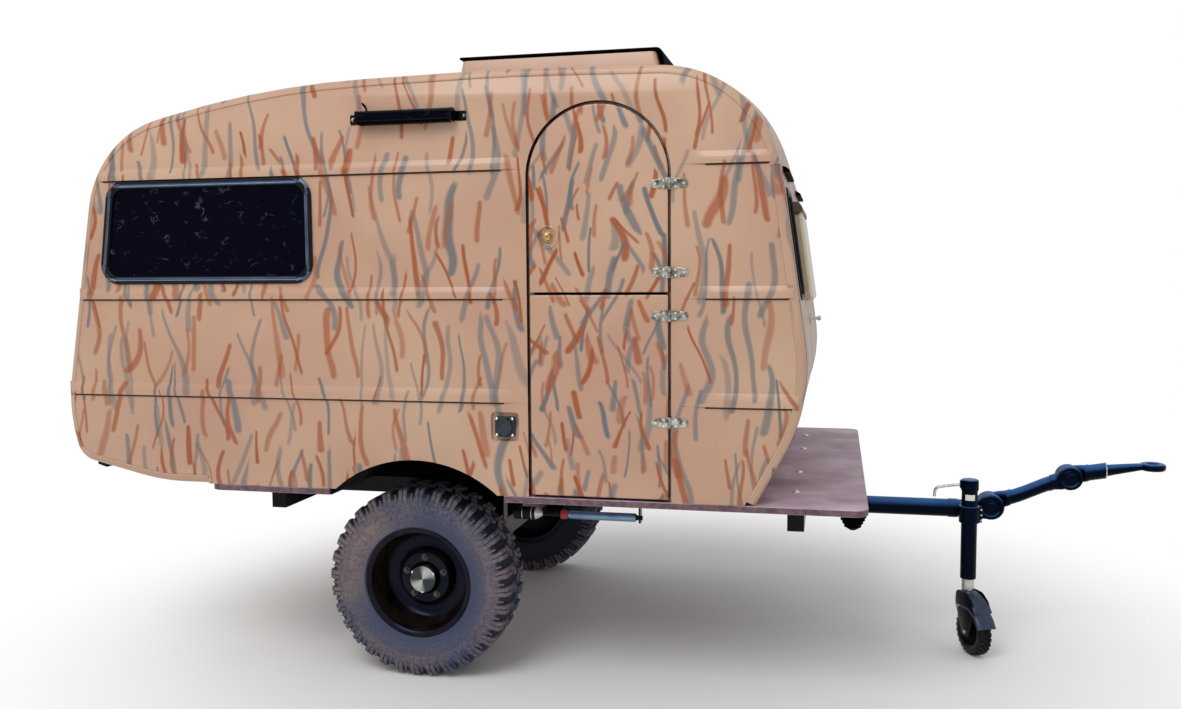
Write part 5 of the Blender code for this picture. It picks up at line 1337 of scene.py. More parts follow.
for side, name in SIDES:
    hub = (0.0, side * TRACK_HALF, AXLE_Z)
    rim = turned(from_face(RIM_FACE_SECTION + RIM_BACK_SECTION, 0.0, side), "Y", hub, 96, loop=True)
    piece(f"steel_rim_{name}", rim, RIM_ENAMEL, f"wheel_{name}", f"rim_{name}")
    nuts = [nut(math.tau * k / 5, side) for k in range(5)]
    piece(f"wheel_nuts_{name}", merged(*nuts), NUT_STEEL, f"wheel_{name}")

# %% [markdown]
# The hub cap was faced on a lathe. Its fine rings stretch each highlight into a bright fan, which an
# anisotropic metal with a radial tangent gives, and a painted highlight in the colour adds to.

# %% Hub caps and drums
def turned_aluminium():
    material, tree, shader = new_material("turned aluminium", "8E9494", 0.34, 1.0, anisotropic=0.85)
    ring = add_node(tree, "Tangent", direction_type="RADIAL", axis="Y")
    feed(shader, "Tangent", ring.outputs[0])
    where = add_node(tree, "TexCoord").outputs["Object"]
    stain = add_node(tree, "TexNoise", {"Vector": where, "Scale": 40.0, "Detail": 5.0})
    gloss = add_node(tree, "MapRange", [stain, 0.35, 0.7, 0.26, 0.44])
    feed(shader, "Roughness", gloss.outputs[0])
    # The fan's painted highlight: two bright sectors in the colour, whose angle is taken about the axle
    from_axle = add_node(tree, "VectorMath", [where, (AXLE_X, 0.0, AXLE_Z)], operation="SUBTRACT")
    spot = add_node(tree, "SeparateXYZ", [from_axle])
    angle = add_node(tree, "Math", [spot.outputs["Z"], spot.outputs["X"]], operation="ARCTAN2")
    angle = add_node(tree, "Math", [angle, 2.0, -1.9], operation="MULTIPLY_ADD")
    painted_fan = add_node(tree, "Math", [angle], operation="COSINE")
    painted_fan = add_node(tree, "MapRange", [painted_fan, -0.4, 1.0, 0.0, 1.0], interpolation_type="SMOOTHSTEP")
    colour = add_node(
        tree, "Mix", {"Factor": painted_fan, "A": linear("41484B"), "B": linear("C3C6C0")}, data_type="RGBA"
    )
    feed(shader, "Base Color", colour.outputs["Result"])
    return material


TURNED = turned_aluminium()
DRUM = mm((-134, 0), (-134, 125), (-39, 125), (-36.3, 122), (-36.3, 0))
CAP = mm((-36, 0), (-36, 50), (20, 50), (20, 57), (44, 57), (50, 56), (54.5, 53), (56, 48), (56, 0))
CLIP_RING_R, CLIP_OUT = 0.0505, 0.0525
for side, name in SIDES:
    hub = (0.0, side * TRACK_HALF, AXLE_Z)
    drum = turned(from_face(DRUM, 0.0, side), "Y", hub, 64)
    piece(f"brake_drum_{name}", drum, ENAMEL, f"wheel_{name}")
    cap = turned(from_face(CAP, 0.0, side), "Y", hub, 64)
    piece(f"hub_cap_{name}", cap, TURNED, f"wheel_{name}", f"hub_{name}")
    # Three spring clips hold the cap; they stand round its edge
    clips = []
    for turn in (math.radians(degrees) for degrees in (62, 182, 302)):
        clip_line = rectangle(-0.006, 0.006, -0.0045, 0.0045, 0.002)
        clip = soft_prism(clip_line, "Y", -0.008 * side, 0.003 * side, 0.001)
        spot = Vector((CLIP_RING_R * math.sin(turn), CLIP_OUT * side, CLIP_RING_R * math.cos(turn)))
        shift = Matrix.Translation(spot + Vector(hub))
        bmesh.ops.transform(clip, matrix=shift @ Matrix.Rotation(turn, 4, "Y"), verts=clip.verts)
        clips.append(clip)
    piece(f"cap_clips_{name}", merged(*clips), SCREW, f"wheel_{name}")

# %% [markdown]
# ## Hinges and lock
# The stainless hinges are butterfly leaves, wide at the pin and narrow at the tip, with three screws sunk in
# each wing. One wing rides with the wall and the other with its leaf of the door.

# %% Wings and barrels of the hinges
HINGE_X = DOOR_X[1] - DOOR_GAP / 2
HINGE_PIN_Y = -(BODY_HALF + 0.0065)
HINGE_HALF = 0.021
# Columns: height, leaf of the door that it carries
HINGES = ((1.911, "upper"), (1.599, "upper"), (1.445, "lower"), (1.062, "lower"))
# Screws of a wing: distance from the pin, from the hinge's middle height
HINGE_SCREWS = mm((21, 10.5), (21, -10.5), (51, 0))


def hinge_wing(z, way, near, back, face):
    """One wing with screws in their countersinks; way is +1 towards the front of the caravan."""
    tip, tip_half = 0.066, 0.0125
    corners = (
        (near, z - HINGE_HALF, 0.0), (tip, z - tip_half, 0.01), (tip, z + tip_half, 0.01),
        (near, z + HINGE_HALF, 0.0),
    )
    outline = [Vector((HINGE_X + way * p.x, p.y)) for p in rounded(corners)]
    if way < 0:
        outline.reverse()
    plate = item("wing", soft_prism(outline, "Y", back, face, 0.0008, 2))
    spots = [(HINGE_X + way * x, 0.0, z + rise) for x, rise in HINGE_SCREWS]
    sink = mm((-1, 0), (-1, 6), (2.4, 3), (2.4, 0))
    head = mm((2.6, 0), (2.2, 3.4), (0.2, 5.2), (-1, 4.2), (-1.2, 1.4), (0, 0))
    routed(plate, [item("sink", turned(from_face(sink, face), "Y", spot, 20)) for spot in spots])
    return taken(plate), [turned(from_face(head, face), "Y", spot, 16) for spot in spots]


def hinge_barrel(z):
    """Five knuckles round the pin, with a fine groove between each two."""
    low, tall, soft = z - HINGE_HALF, 2 * HINGE_HALF / 5, 0.0006
    profile = [(low, 0.0), (low, 0.0046)]
    for k in range(5):
        foot, head = low + k * tall, low + (k + 1) * tall
        profile += [(foot + soft, 0.0055), (head - soft, 0.0055), (head, 0.0044)]
    profile.append((low + 5 * tall, 0.0))
    return turned(profile, "Z", (HINGE_X, HINGE_PIN_Y, 0.0), 20)


print("hinge functions ready")

# %% Four hinges
door_wings = {"upper": [], "lower": []}
heads = {"upper": [], "lower": [], "wall": []}
for k, (z, leaf) in enumerate(HINGES, 1):
    back = -(BODY_HALF + 0.0003)
    wing, screws = hinge_wing(z, 1, 0.0, back, back - 0.003)
    heads["wall"] += screws
    piece(f"hinge_leaf_{k}", merged(wing, hinge_barrel(z)), STAINLESS, "caravan", f"hinge_{k}")
    wing, screws = hinge_wing(z, -1, 0.0045, DOOR_SKIN + 0.001, DOOR_SKIN - 0.003)
    door_wings[leaf].append(wing)
    heads[leaf] += screws
for leaf, wings in door_wings.items():
    piece(f"door_hinges_{leaf}", merged(*wings), STAINLESS, f"door_{leaf}")
for leaf, screws in heads.items():
    body = "caravan" if leaf == "wall" else f"door_{leaf}"
    piece(f"hinge_screws_{leaf}", merged(*screws), SCREW, body)

# %% Lock
# Columns: distance out of the dish, radius
KNOB = mm(
    (-0.3, 0), (0.3, 19.5), (3.2, 20), (4.2, 19.2), (4.8, 16), (6.4, 15), (13, 14.7), (16.8, 13), (19, 9.5),
    (19.8, 5), (20, 0),
)
SLOT_LEAN = math.radians(62)
SLOT_HALF, SLOT_HALF_WIDE = 0.016, 0.0016
seat = DOOR_SKIN + 0.008
knob = item("brass_lock", turned(from_face(KNOB, seat, -1), "Y", (LOCK_X, 0.0, LOCK_Z), 40))
slot_way = Vector((math.cos(SLOT_LEAN), math.sin(SLOT_LEAN)))
reach, across = slot_way * SLOT_HALF, Vector((-slot_way.y, slot_way.x)) * SLOT_HALF_WIDE
slot = [lock_at + reach * a + across * b for a, b in ((-1, -1), (1, -1), (1, 1), (-1, 1))]
routed(knob, [item("slot", prism(slot, "Y", seat - 0.03, seat - 0.015))])
finished(knob, BRASS, "door_upper", "door_lock")

# %% [markdown]
# ## Power inlet and work light
# The inlet is a square moulded plate in its dish, with a round spring lid. The work light is an aluminium bar
# painted black, with cooling fins along its lower edge, on two small feet.

# %% Power inlet
def disc_at(spot, steps, segments=32):
    """A turned piece that faces the door side; steps are (y, radius)."""
    return turned(steps, "Y", (spot[0], 0.0, spot[1]), segments)


wall_face = -BODY_HALF
plate_line = square_at(INLET_X, INLET_Z, 0.038, 0.008)
# Columns: trim of the outline, distance out of the wall
PLATE_LEVELS = mm((0, -13.7), (0, 2), (0.8, 3.4), (2.2, 4), (6, 4), (6.8, 2.6))
# Columns: distance out of the wall, radius
INLET_LID = mm(
    (0, 0), (0, 31), (12, 31), (14.2, 29.8), (15, 27.5), (15, 22.5), (14, 21.5), (14, 12), (14.6, 11),
    (14.6, 0),
)
INLET_SCREW = mm((2, 0), (2, 5.6), (5, 5.2), (6.4, 3.4), (7, 0))
SCREW_PLACES = [(a, b) for a in (-0.0305, 0.0305) for b in (-0.0305, 0.0305)]
base = stepped(plate_line, [(trim, wall_face - out) for trim, out in PLATE_LEVELS])
lid = disc_at((INLET_X, INLET_Z), from_face(INLET_LID, wall_face, -1))
tab_line = rectangle(INLET_X - 0.013, INLET_X + 0.013, INLET_Z + 0.024, INLET_Z + 0.0365, 0.003)
tab = soft_prism(tab_line, "Y", wall_face - 0.003, wall_face - 0.0135, 0.002)
grip_line = rectangle(INLET_X - 0.009, INLET_X + 0.009, INLET_Z - 0.0365, INLET_Z - 0.027, 0.003)
grip = soft_prism(grip_line, "Y", wall_face - 0.006, wall_face - 0.014, 0.002)
piece("inlet_socket", merged(base, lid, tab, grip), INLET_PLASTIC, "caravan", "power_inlet")
screw_head = from_face(INLET_SCREW, wall_face, -1)
heads = [disc_at((INLET_X + a, INLET_Z + b), screw_head, 16) for a, b in SCREW_PLACES]
piece("inlet_screws", merged(*heads), SCREW, "caravan")

# %% Work light
LIGHT_X = (-0.141, 0.238)
LIGHT_Z = (2.15, 2.202)
light_skin = -(BODY_HALF + 0.0003)
light_back, light_face = light_skin - 0.012, light_skin - 0.052


def light_section(trim, low):
    """The bar's outline across, as (y, z), less a trim all round."""
    near, far, high = light_face + 0.0015, light_back, LIGHT_Z[1]
    corners = [(near, low, 0.006), (far, low, 0.006), (far, high, 0.008), (near, high, 0.008)]
    return inset(rounded(corners), trim)


light_parts = [prism(light_section(0.0012, 2.159), "X", LIGHT_X[0] + 0.006, LIGHT_X[1] - 0.006)]
for x0, x1 in ((LIGHT_X[0], LIGHT_X[0] + 0.008), (LIGHT_X[1] - 0.008, LIGHT_X[1])):
    light_parts.append(prism(light_section(0.0, 2.1525), "X", x0, x1))
FIN_COUNT, FIN_END = 45, 0.014
for k in range(FIN_COUNT):
    x = LIGHT_X[0] + FIN_END + k * (LIGHT_X[1] - LIGHT_X[0] - 2 * FIN_END) / (FIN_COUNT - 1)
    fin = box(x - 0.0012, x + 0.0012, light_face + 0.004, light_back - 0.002, LIGHT_Z[0], 2.162)
    light_parts.append(fin)
for x, ahead in ((LIGHT_X[0], -1), (LIGHT_X[1], 1)):
    foot = rectangle(*sorted((x, x + ahead * 0.04)), LIGHT_Z[0] + 0.008, LIGHT_Z[1] - 0.008, 0.004)
    light_parts.append(soft_prism(foot, "Y", light_skin, light_skin - 0.003, 0.0008, 2))
    web = rectangle(*sorted((x, x + ahead * 0.003)), LIGHT_Z[0] + 0.008, LIGHT_Z[1] - 0.008)
    light_parts.append(prism(web, "Y", (light_back + light_face) / 2, light_skin))
piece("work_light", merged(*light_parts), ENAMEL, "caravan", "light_bar")
lens_line = rectangle(LIGHT_X[0] + 0.012, LIGHT_X[1] - 0.012, LIGHT_Z[0] + 0.016, LIGHT_Z[1] - 0.009, 0.004)
lens = soft_prism(lens_line, "Y", light_face + 0.004, light_face + 0.0002, 0.001, 2)
piece("work_light_lens", lens, ACRYLIC, "caravan")
# A cap nut on the rear foot, and a bright screw cap at the end of the front one
CAP_NUT = mm((3, 0), (3, 8.5), (4.5, 8.5), (4.6, 6.5), (9, 6.5), (12.5, 5.5), (15, 3), (15.8, 0))
nuts = []
for x, size in ((LIGHT_X[0] - 0.026, 1.0), (LIGHT_X[1] + 0.032, 0.8)):
    nuts.append(disc_at((x, 2.176), [(light_skin - out * size, r * size) for out, r in CAP_NUT], 24))
piece("work_light_nuts", merged(*nuts), STAINLESS, "caravan")

# %% [markdown]
# ## Roof hatch
# The upstand is laminated in the same gelcoat as the roof. Its lid is a black sheet that is folded down at
# the front, where it hinges on a rod, and held by a small catch at the rear.

# %% Hatch upstand
HATCH_FOOT_Z, HATCH_WAIST_Z, HATCH_TOP_Z = 2.3, 2.4, 2.514
HATCH_LEAN, HATCH_WALL = 0.028, 0.018
HATCH_PIN = Vector((0.905, 2.44))
ROD_HALF = 0.24


def hatch_line(z, wall):
    trim = wall + HATCH_LEAN * max(0.0, z - HATCH_WAIST_Z) / (HATCH_TOP_Z - HATCH_WAIST_Z)
    half = HATCH_HALF - wall
    return rectangle(HATCH_X[0] + trim, HATCH_X[1] - trim, -half, half, 0.02)


# Columns: height, distance in from the outer face
HATCH_LEVELS = (
    (HATCH_FOOT_Z, 0.0), (HATCH_WAIST_Z - 0.01, 0.0), (HATCH_WAIST_Z + 0.01, 0.0), (HATCH_TOP_Z - 0.003, 0.0),
    (HATCH_TOP_Z - 0.001, 0.0008), (HATCH_TOP_Z, 0.003), (HATCH_TOP_Z, HATCH_WALL - 0.003),
    (HATCH_TOP_Z - 0.003, HATCH_WALL), (HATCH_WAIST_Z, HATCH_WALL), (HATCH_FOOT_Z, HATCH_WALL),
)
ring = stacked([(hatch_line(z, wall), z) for z, wall in HATCH_LEVELS], "Z", loop=True)
ledge_top = HATCH_PIN.y - 0.0063
ledge_rear = HATCH_X[1] - HATCH_LEAN + 0.001
ledge = box(ledge_rear, HATCH_PIN.x + 0.006, -ROD_HALF, ROD_HALF, ledge_top - 0.01, ledge_top)
upstand = item("hatch_frame", merged(ring, ledge))
paint_places(upstand, side_spot)
finished(upstand, PLAIN_GELCOAT, "caravan", "hatch_upstand")

# %% Hatch lid
lid_top = HATCH_TOP_Z + 0.016
lid_front = HATCH_X[1] - HATCH_LEAN + 0.026
lid_rear = HATCH_X[0] + HATCH_LEAN - 0.012
fold = rounded([(lid_rear, lid_top, 0), (lid_front, lid_top, 0.032), (*HATCH_PIN, 0)], closed=False)
under = inset(fold, -0.01, closed=False)
sheet = item("hatch_sheet", prism(fold + under[::-1], "Y", -HATCH_HALF, HATCH_HALF))
routed(sheet, [], bevel=0.0022)
rod = prism(circle(HATCH_PIN, 0.006, 20), "Y", -ROD_HALF, ROD_HALF)
catch_x, catch_top = (lid_rear + 0.001, lid_rear + 0.0055), lid_top - 0.006
catch_line = rounded([
    (catch_x[0], 2.5, 0.0015), (catch_x[1], 2.5, 0.0015), (catch_x[1], catch_top, 0),
    (catch_x[0], catch_top, 0),
])
catches = [prism(catch_line, "Y", y - 0.018, y + 0.018) for y in (-ROD_HALF, 0.0, ROD_HALF)]
piece("hatch_cover", merged(taken(sheet), rod, *catches), BLACK_PLASTIC, "hatch_lid", "hatch_lid")

# %% [markdown]
# ## Front and rear fittings
# Rubber rims hold the two fixed front panes. A black rain lip runs across above them, and a white handle
# stands below. At the rear, each lamp is a red and an amber lens on a black base, beside the blank plate.

# %% Front rims and rain lips
# Columns: how far inside the hole, how far out of the wall
FRONT_RIM = mm(
    (0.4, -16), (0.4, 0.4), (-6, 0.8), (-6, 4.5), (0, 6.5), (6, 5), (10, 1), (10, -5.5), (0.8, -5.7),
    (0.8, -14.5),
)
for name, y0, y1 in FRONT_PANES:
    levels = [(fixed_pane(y0, y1, inside), out) for inside, out in FRONT_RIM]
    rim = stacked(levels, "X", loop=True)
    piece(f"front_rubber_{name}", rim, RUBBER, "caravan", turn=FRONT_TURN)
lip_low = front_level(1.955)
# Columns: distance out of the wall, height over the lip's foot, corner radius
LIP = mm((0, 0, 0), (20, -4, 2), (23, 6, 4), (10, 18, 6), (-4, 24, 0))
lip_line = rounded([(out, lip_low + up, radius) for out, up, radius in LIP])
lips = [prism(lip_line, "Y", *sorted((side * 0.385, side * 0.83))) for side in (-1, 1)]
piece("rain_lips", merged(*lips), BLACK_PLASTIC, "caravan", turn=FRONT_TURN)

# %% Front seams and handle
# A brown filler strip runs up the front wall near each edge
seam_path = [p for p in PROFILE[:front_end + 1] if p.y > 0.9]
seam_line = inset(seam_path, -0.0015, closed=False) + inset(seam_path, 0.003, closed=False)[::-1]
seam_y = (BODY_HALF - 0.046, BODY_HALF - 0.04)
seams = [prism(seam_line, "Y", *sorted(side * y for y in seam_y)) for side in (-1, 1)]
piece("front_seams", merged(*seams), BROWN_PLASTIC, "caravan")
handle_z = front_level(1.391)
bar_line = rectangle(-0.007, 0.007, handle_z - 0.026, handle_z + 0.026, 0.006)
# Columns: distance out of the wall, radius
HANDLE_KNOB = mm((2, 0), (2, 6), (30, 5.6), (34, 10.5), (44, 10.5), (47, 8), (47, 0))
handle = merged(
    soft_prism(bar_line, "X", 0.0002, 0.008, 0.002), turned(HANDLE_KNOB, "X", (0.0, 0.0, handle_z), 24)
)
piece("front_handle", handle, WHITE_PLATE, "caravan", turn=FRONT_TURN)

# %% Tail lamps and plate
lamp_low, lamp_high = rear_level(1.235), rear_level(1.335)
LAMP_NEAR, LAMP_FAR, LAMP_SPLIT = 0.64, 0.88, 0.785
# Columns: colour, material, nearer and farther end
LENSES = (
    ("red", RED_LENS, LAMP_NEAR + 0.004, LAMP_SPLIT - 0.001),
    ("amber", AMBER_LENS, LAMP_SPLIT + 0.001, LAMP_FAR - 0.004),
)
for side, name in SIDES:
    base = rectangle(*sorted((side * LAMP_NEAR, side * LAMP_FAR)), lamp_low, lamp_high, 0.02)
    housing = soft_prism(base, "X", -0.0003, -0.014, 0.002)
    piece(f"lamp_base_{name}", housing, BLACK_PLASTIC, "caravan", f"tail_lamp_{name}", turn=REAR_TURN)
    for colour, material, y0, y1 in LENSES:
        line = rectangle(*sorted((side * y0, side * y1)), lamp_low + 0.004, lamp_high - 0.004, 0.014)
        lens = soft_prism(line, "X", -0.012, -0.034, 0.007, 4)
        piece(f"lamp_{colour}_{name}", lens, material, "caravan", turn=REAR_TURN)
plate = rectangle(-0.26, 0.26, lamp_low - 0.006, lamp_high + 0.006, 0.01)
plate_levels = mm((0, -0.3), (0, -4.5), (1.5, -6), (5, -6), (6.5, -4.5))
blank = stepped(plate, plate_levels, "X")
piece("blank_plate", blank, WHITE_PLATE, "caravan", "number_plate", turn=REAR_TURN)

# %% [markdown]
# ## Deck and running gear
# The deck's ply is cut with a router, so its edges are slightly rounded and show dark sealer. The dampers
# have a black can, a bright rod with a rubber bush, and a silver tube, each a turned part.

# %% Deck
ARCH_BAY = math.sqrt(ARCH_R ** 2 - (DECK_LOW.z - ARCH_Z) ** 2) + 0.0003
BAY_Y = TRACK_HALF - 0.1683
deck_x = (DECK_LOW.x - AXLE_X, DECK_HIGH.x - AXLE_X)
bay_x = (ARCH_X - ARCH_BAY, ARCH_X + ARCH_BAY)
right_edge = [
    (deck_x[0], -BODY_HALF, 0.055), (bay_x[0], -BODY_HALF, 0), (bay_x[0], -BAY_Y, 0), (bay_x[1], -BAY_Y, 0),
    (bay_x[1], -BODY_HALF, 0), (deck_x[1], -BODY_HALF, 0.055),
]
deck_line = rounded(right_edge + [(x, -y, r) for x, y, r in reversed(right_edge)])
trims = ((0.0012, DECK_LOW.z), (0.0, DECK_LOW.z + 0.0012), (0.0, DECK_TOP - 0.0018), (0.0018, DECK_TOP))
deck = piece("ply_deck", stepped(deck_line, trims, "Z"), PLY, "caravan", "deck")
second_finish(deck, PLY_EDGE, lambda spot, normal: abs(normal.z) < 0.5)
BOLT = mm((0, 0), (0, 16.5), (1.2, 16.2), (4, 11.5), (5.5, 5), (5.8, 0))
bolt_head = from_face(BOLT, DECK_TOP - 0.0002)
bolts = [turned(bolt_head, "Z", (1.46, y, 0.0), 24) for y in (-0.71, -0.3, 0.3, 0.71)]
piece("deck_bolts", merged(*bolts), SCREW, "caravan")

# %% Cowl
COWL_AT = middle("deck_cowl") - Vector((AXLE_X, 0.0, 0.0))
# The cowl narrows slowly to its waist and then faster; each rib has a groove above it
WAIST = 0.057
cowl = [(0.0003, 0.0), (0.0003, 0.056)]
for drop in (0.004 + k * 0.0125 for k in range(8)):
    radius = 0.056 - 0.006 * drop / WAIST if drop < WAIST else 0.05 - 0.024 * (drop - WAIST) / 0.045
    cowl += [(drop, radius - 0.003), (drop + 0.003, radius), (drop + 0.009, radius)]
cowl += [(0.1133, 0.01), (0.1133, 0.0)]
cowl = turned(from_face(cowl, DECK_LOW.z, -1), "Z", (COWL_AT.x, COWL_AT.y, 0.0), 40)
piece("ribbed_cowl", cowl, BLACK_PLASTIC, "caravan", "deck_cowl")

# %% Dampers
DAMPER_X, DAMPER_Y, DAMPER_Z = 0.432, 0.87, 0.682
# Columns: name, material, (distance ahead of the rear end, radius)
DAMPER_PIECES = (
    ("can", ENAMEL, mm(
        (-27, 0), (-27, 22), (-25, 24), (6.5, 24.5), (6.6, 22.5), (9.5, 22.5), (9.6, 25), (42, 25.5),
        (42.1, 23), (45.5, 23), (45.6, 25.8), (56, 25.5), (57.5, 23.5), (57.5, 0),
    )),
    ("bright", ZINC, mm(
        (6, 0), (6, 24), (10, 24), (10, 10), (41.5, 10), (41.5, 24.5), (46, 24.5), (46, 10), (57, 10),
        (57, 22.5), (68, 19.5), (84, 9), (88, 6), (88, 0),
    )),
    ("rod", ENAMEL, mm((86, 0), (86, 8), (158.5, 8), (158.5, 0))),
    ("bush", RED_RUBBER, mm((158, 0), (158, 15), (160, 17), (178, 17), (180, 15), (187, 12), (187, 0))),
    ("tube", DAMPER, mm(
        (186.5, 0), (186.5, 12), (192.5, 15), (194.5, 16), (444, 16), (446.5, 15), (450.5, 10.5), (450.5, 0),
    )),
    ("end", ENAMEL, mm((450, 0), (450, 9.8), (473, 8), (473, 0))),
)
BRACKET_HALF = 0.019
for side, name in SIDES:
    centre = (0.0, side * DAMPER_Y, DAMPER_Z)
    for section, material, steps in DAMPER_PIECES:
        made = item(f"damper_{section}_{name}", turned(from_face(steps, DAMPER_X), "X", centre, 32))
        finished(made, material, "caravan", *((f"damper_{name}",) if section == "can" else ()))
    y0, y1 = side * DAMPER_Y - BRACKET_HALF, side * DAMPER_Y + BRACKET_HALF
    foot, hung = DAMPER_Z - BRACKET_HALF, DECK_LOW.z - 0.0003
    line = rounded([(y0, foot, 0.01), (y1, foot, 0.01), (y1, hung, 0), (y0, hung, 0)])
    brackets = [prism(line, "X", x, x + 0.006) for x in (DAMPER_X + 0.006, DAMPER_X + 0.461)]
    piece(f"damper_brackets_{name}", merged(*brackets), ENAMEL, "caravan")

# %% [markdown]
# ## Jockey wheel
# The jockey wheel's outer tube hangs in a clamp and has a folding crank on its head. A moulded hood covers
# the front of the small wheel, whose solid rubber tyre has four rows of blocks.

# %% Jockey tube, crank and label
JOCKEY = middle("jockey_inner_tube") - Vector((AXLE_X, 0.0, 0.0))
JOCKEY_AT = (JOCKEY.x, JOCKEY.y, 0.0)
# Columns: height, radius
TUBE_STEPS = mm(
    (674, 0), (674, 25.5), (310, 25.5), (310, 30.5), (312, 32), (683.5, 32), (684, 34.5), (687, 36),
    (721, 36), (727, 34.5), (730, 30), (730, 0),
)
boss_line = rectangle(JOCKEY.x - 0.04, JOCKEY.x + 0.01, JOCKEY.y - 0.014, JOCKEY.y + 0.014, 0.008)
head = merged(turned(TUBE_STEPS, "Z", JOCKEY_AT, 48), soft_prism(boss_line, "Z", 0.694, 0.7255, 0.003))
piece("jockey_outer", head, NAVY_ENAMEL, "jockey_tube", "jockey_tube")
# Columns: distance behind the tube's middle, height
CRANK = mm(
    (24, 707.5), (45, 705.5), (90, 699.5), (118, 695), (130, 690.5), (137, 683), (140, 670), (141, 652),
)
crank = swept([(JOCKEY.x - behind, JOCKEY.y, z) for behind, z in CRANK], 0.0058, 14)
piece("jockey_crank", crank, ZINC, "jockey_tube")
wrap = [math.radians(t) for t in range(-128, -50, 6)]
label_line = []
for r, turns in ((0.0324, wrap), (0.0315, wrap[::-1])):
    label_line += [Vector((JOCKEY.x + r * math.cos(t), JOCKEY.y + r * math.sin(t))) for t in turns]
piece("jockey_label", prism(label_line, "Z", 0.645, 0.669), WHITE_PLATE, "jockey_tube")

# %% Jockey clamp
SLEEVE = mm((548, 32.8), (548, 40), (549.6, 41.5), (616.4, 41.5), (618, 40), (618, 32.8))
pad = box(JOCKEY.x - 0.03, JOCKEY.x + 0.03, JOCKEY.y + 0.0345, -0.0378, 0.548, 0.618)
flange_x = (JOCKEY.x + 0.037, JOCKEY.x + 0.05)
flanges = [box(*flange_x, y, y + 0.006, 0.55, 0.616) for y in (JOCKEY.y - 0.01, JOCKEY.y + 0.004)]
clamp = merged(turned(SLEEVE, "Z", JOCKEY_AT, 48, loop=True), pad, *flanges)
piece("jockey_clamp_sleeve", clamp, NAVY_ENAMEL, "caravan", "jockey_clamp")
CLAMP_BOLT = mm((-17, 0), (-17, 4), (-15.5, 5.2), (-10, 5.2), (-10, 0))
bolt = from_face(CLAMP_BOLT, JOCKEY.y)
clamp_bolts = [turned(bolt, "Y", (JOCKEY.x + 0.0455, 0.0, z), 6) for z in (0.561, 0.583, 0.605)]
piece("jockey_clamp_bolts", merged(*clamp_bolts), ZINC, "caravan")

# %% Lofts
def lofted(stations, segments=36):
    """A solid through rounded sections across X, in millimetres; square is 2 for an ellipse."""
    sections = []
    for *sizes, square in stations:
        x, y, z, half_y, half_z = (size / 1000 for size in sizes)
        section = []
        for turn in (math.tau * k / segments for k in range(segments)):
            a, b = (math.copysign(abs(s) ** (2 / square), s) for s in (math.cos(turn), math.sin(turn)))
            section.append((x, y + a * half_y, z + b * half_z))
        sections.append(section)
    return through(sections)


print("lofts ready")

# %% Fork
CASTER_TURN = Matrix.Translation(JOCKEY_AT) @ Matrix.Rotation(math.radians(-65), 4, "Z")
CASTER_HUB = Vector((0.05, 0.0, 0.1))
cheek_line = rounded([
    (-0.0305, 0.205, 0.03), (0.0245, 0.08, 0.022), (0.0755, 0.08, 0.022), (0.112, 0.2, 0.012),
    (0.094, 0.234, 0.03), (0.05, 0.2605, 0.04), (-0.026, 0.2605, 0.024),
])
cheeks = [soft_prism(cheek_line, "Y", side * 0.034, side * 0.039, 0.0012, 2) for side in (-1, 1)]
pin = prism(circle((CASTER_HUB.x, CASTER_HUB.z), 0.008, 20), "Y", -0.0345, 0.0345)
piece("jockey_cheeks", merged(*cheeks, pin), ENAMEL, "jockey_fork", "jockey_fork", turn=CASTER_TURN)
FORK_BOLT = mm((38.8, 0), (38.8, 9.5), (44, 9), (45.5, 7), (45.5, 0))
bolt_places = ((CASTER_HUB.x, CASTER_HUB.z), (-0.008, 0.192))
fork_bolts = []
for side in (-1, 1):
    bolt = from_face(FORK_BOLT, 0.0, side)
    fork_bolts += [turned(bolt, "Y", (x, 0.0, z), 6) for x, z in bolt_places]
piece("jockey_fork_bolts", merged(*fork_bolts), ZINC, "jockey_fork", turn=CASTER_TURN)

# %% Hood
# Half of the hood's section, from its skirt to its middle: share of half the width, radius about the axle
HOOD_SECTION = (
    (1.0, 0.095), (1.0, 0.101), (0.96, 0.1055), (0.84, 0.109), (0.6, 0.1112), (0.3, 0.112), (0.0, 0.112),
)
HOOD_HALF, HOOD_SHEET = 0.0405, 0.0026


def about_hub(turn, radius, y):
    """A place about the small wheel's axle; the turn starts at the front."""
    return (CASTER_HUB.x + radius * math.cos(turn), y, CASTER_HUB.z + radius * math.sin(turn))


def hood_section(turn, lift):
    """One section of the hood: the outside from the right skirt to the left, and the inside back."""
    half = list(HOOD_SECTION) + [(-share, radius) for share, radius in reversed(HOOD_SECTION[:-1])]
    outside = [(-share * HOOD_HALF, radius + lift) for share, radius in half]
    narrow = HOOD_HALF - HOOD_SHEET
    inside = [(-share * narrow, max(0.095, radius - HOOD_SHEET) + lift) for share, radius in half]
    return [about_hub(turn, radius, y) for y, radius in outside + inside[::-1]]


# Columns: turn about the small wheel's axle in degrees, lift of the lip
hood_turns = ((20, 0.0015), (22, 0.0012), (25, 0.0), *((t, 0.0) for t in range(30, 109, 6)))
hood = through([hood_section(math.radians(turn), lift) for turn, lift in hood_turns])
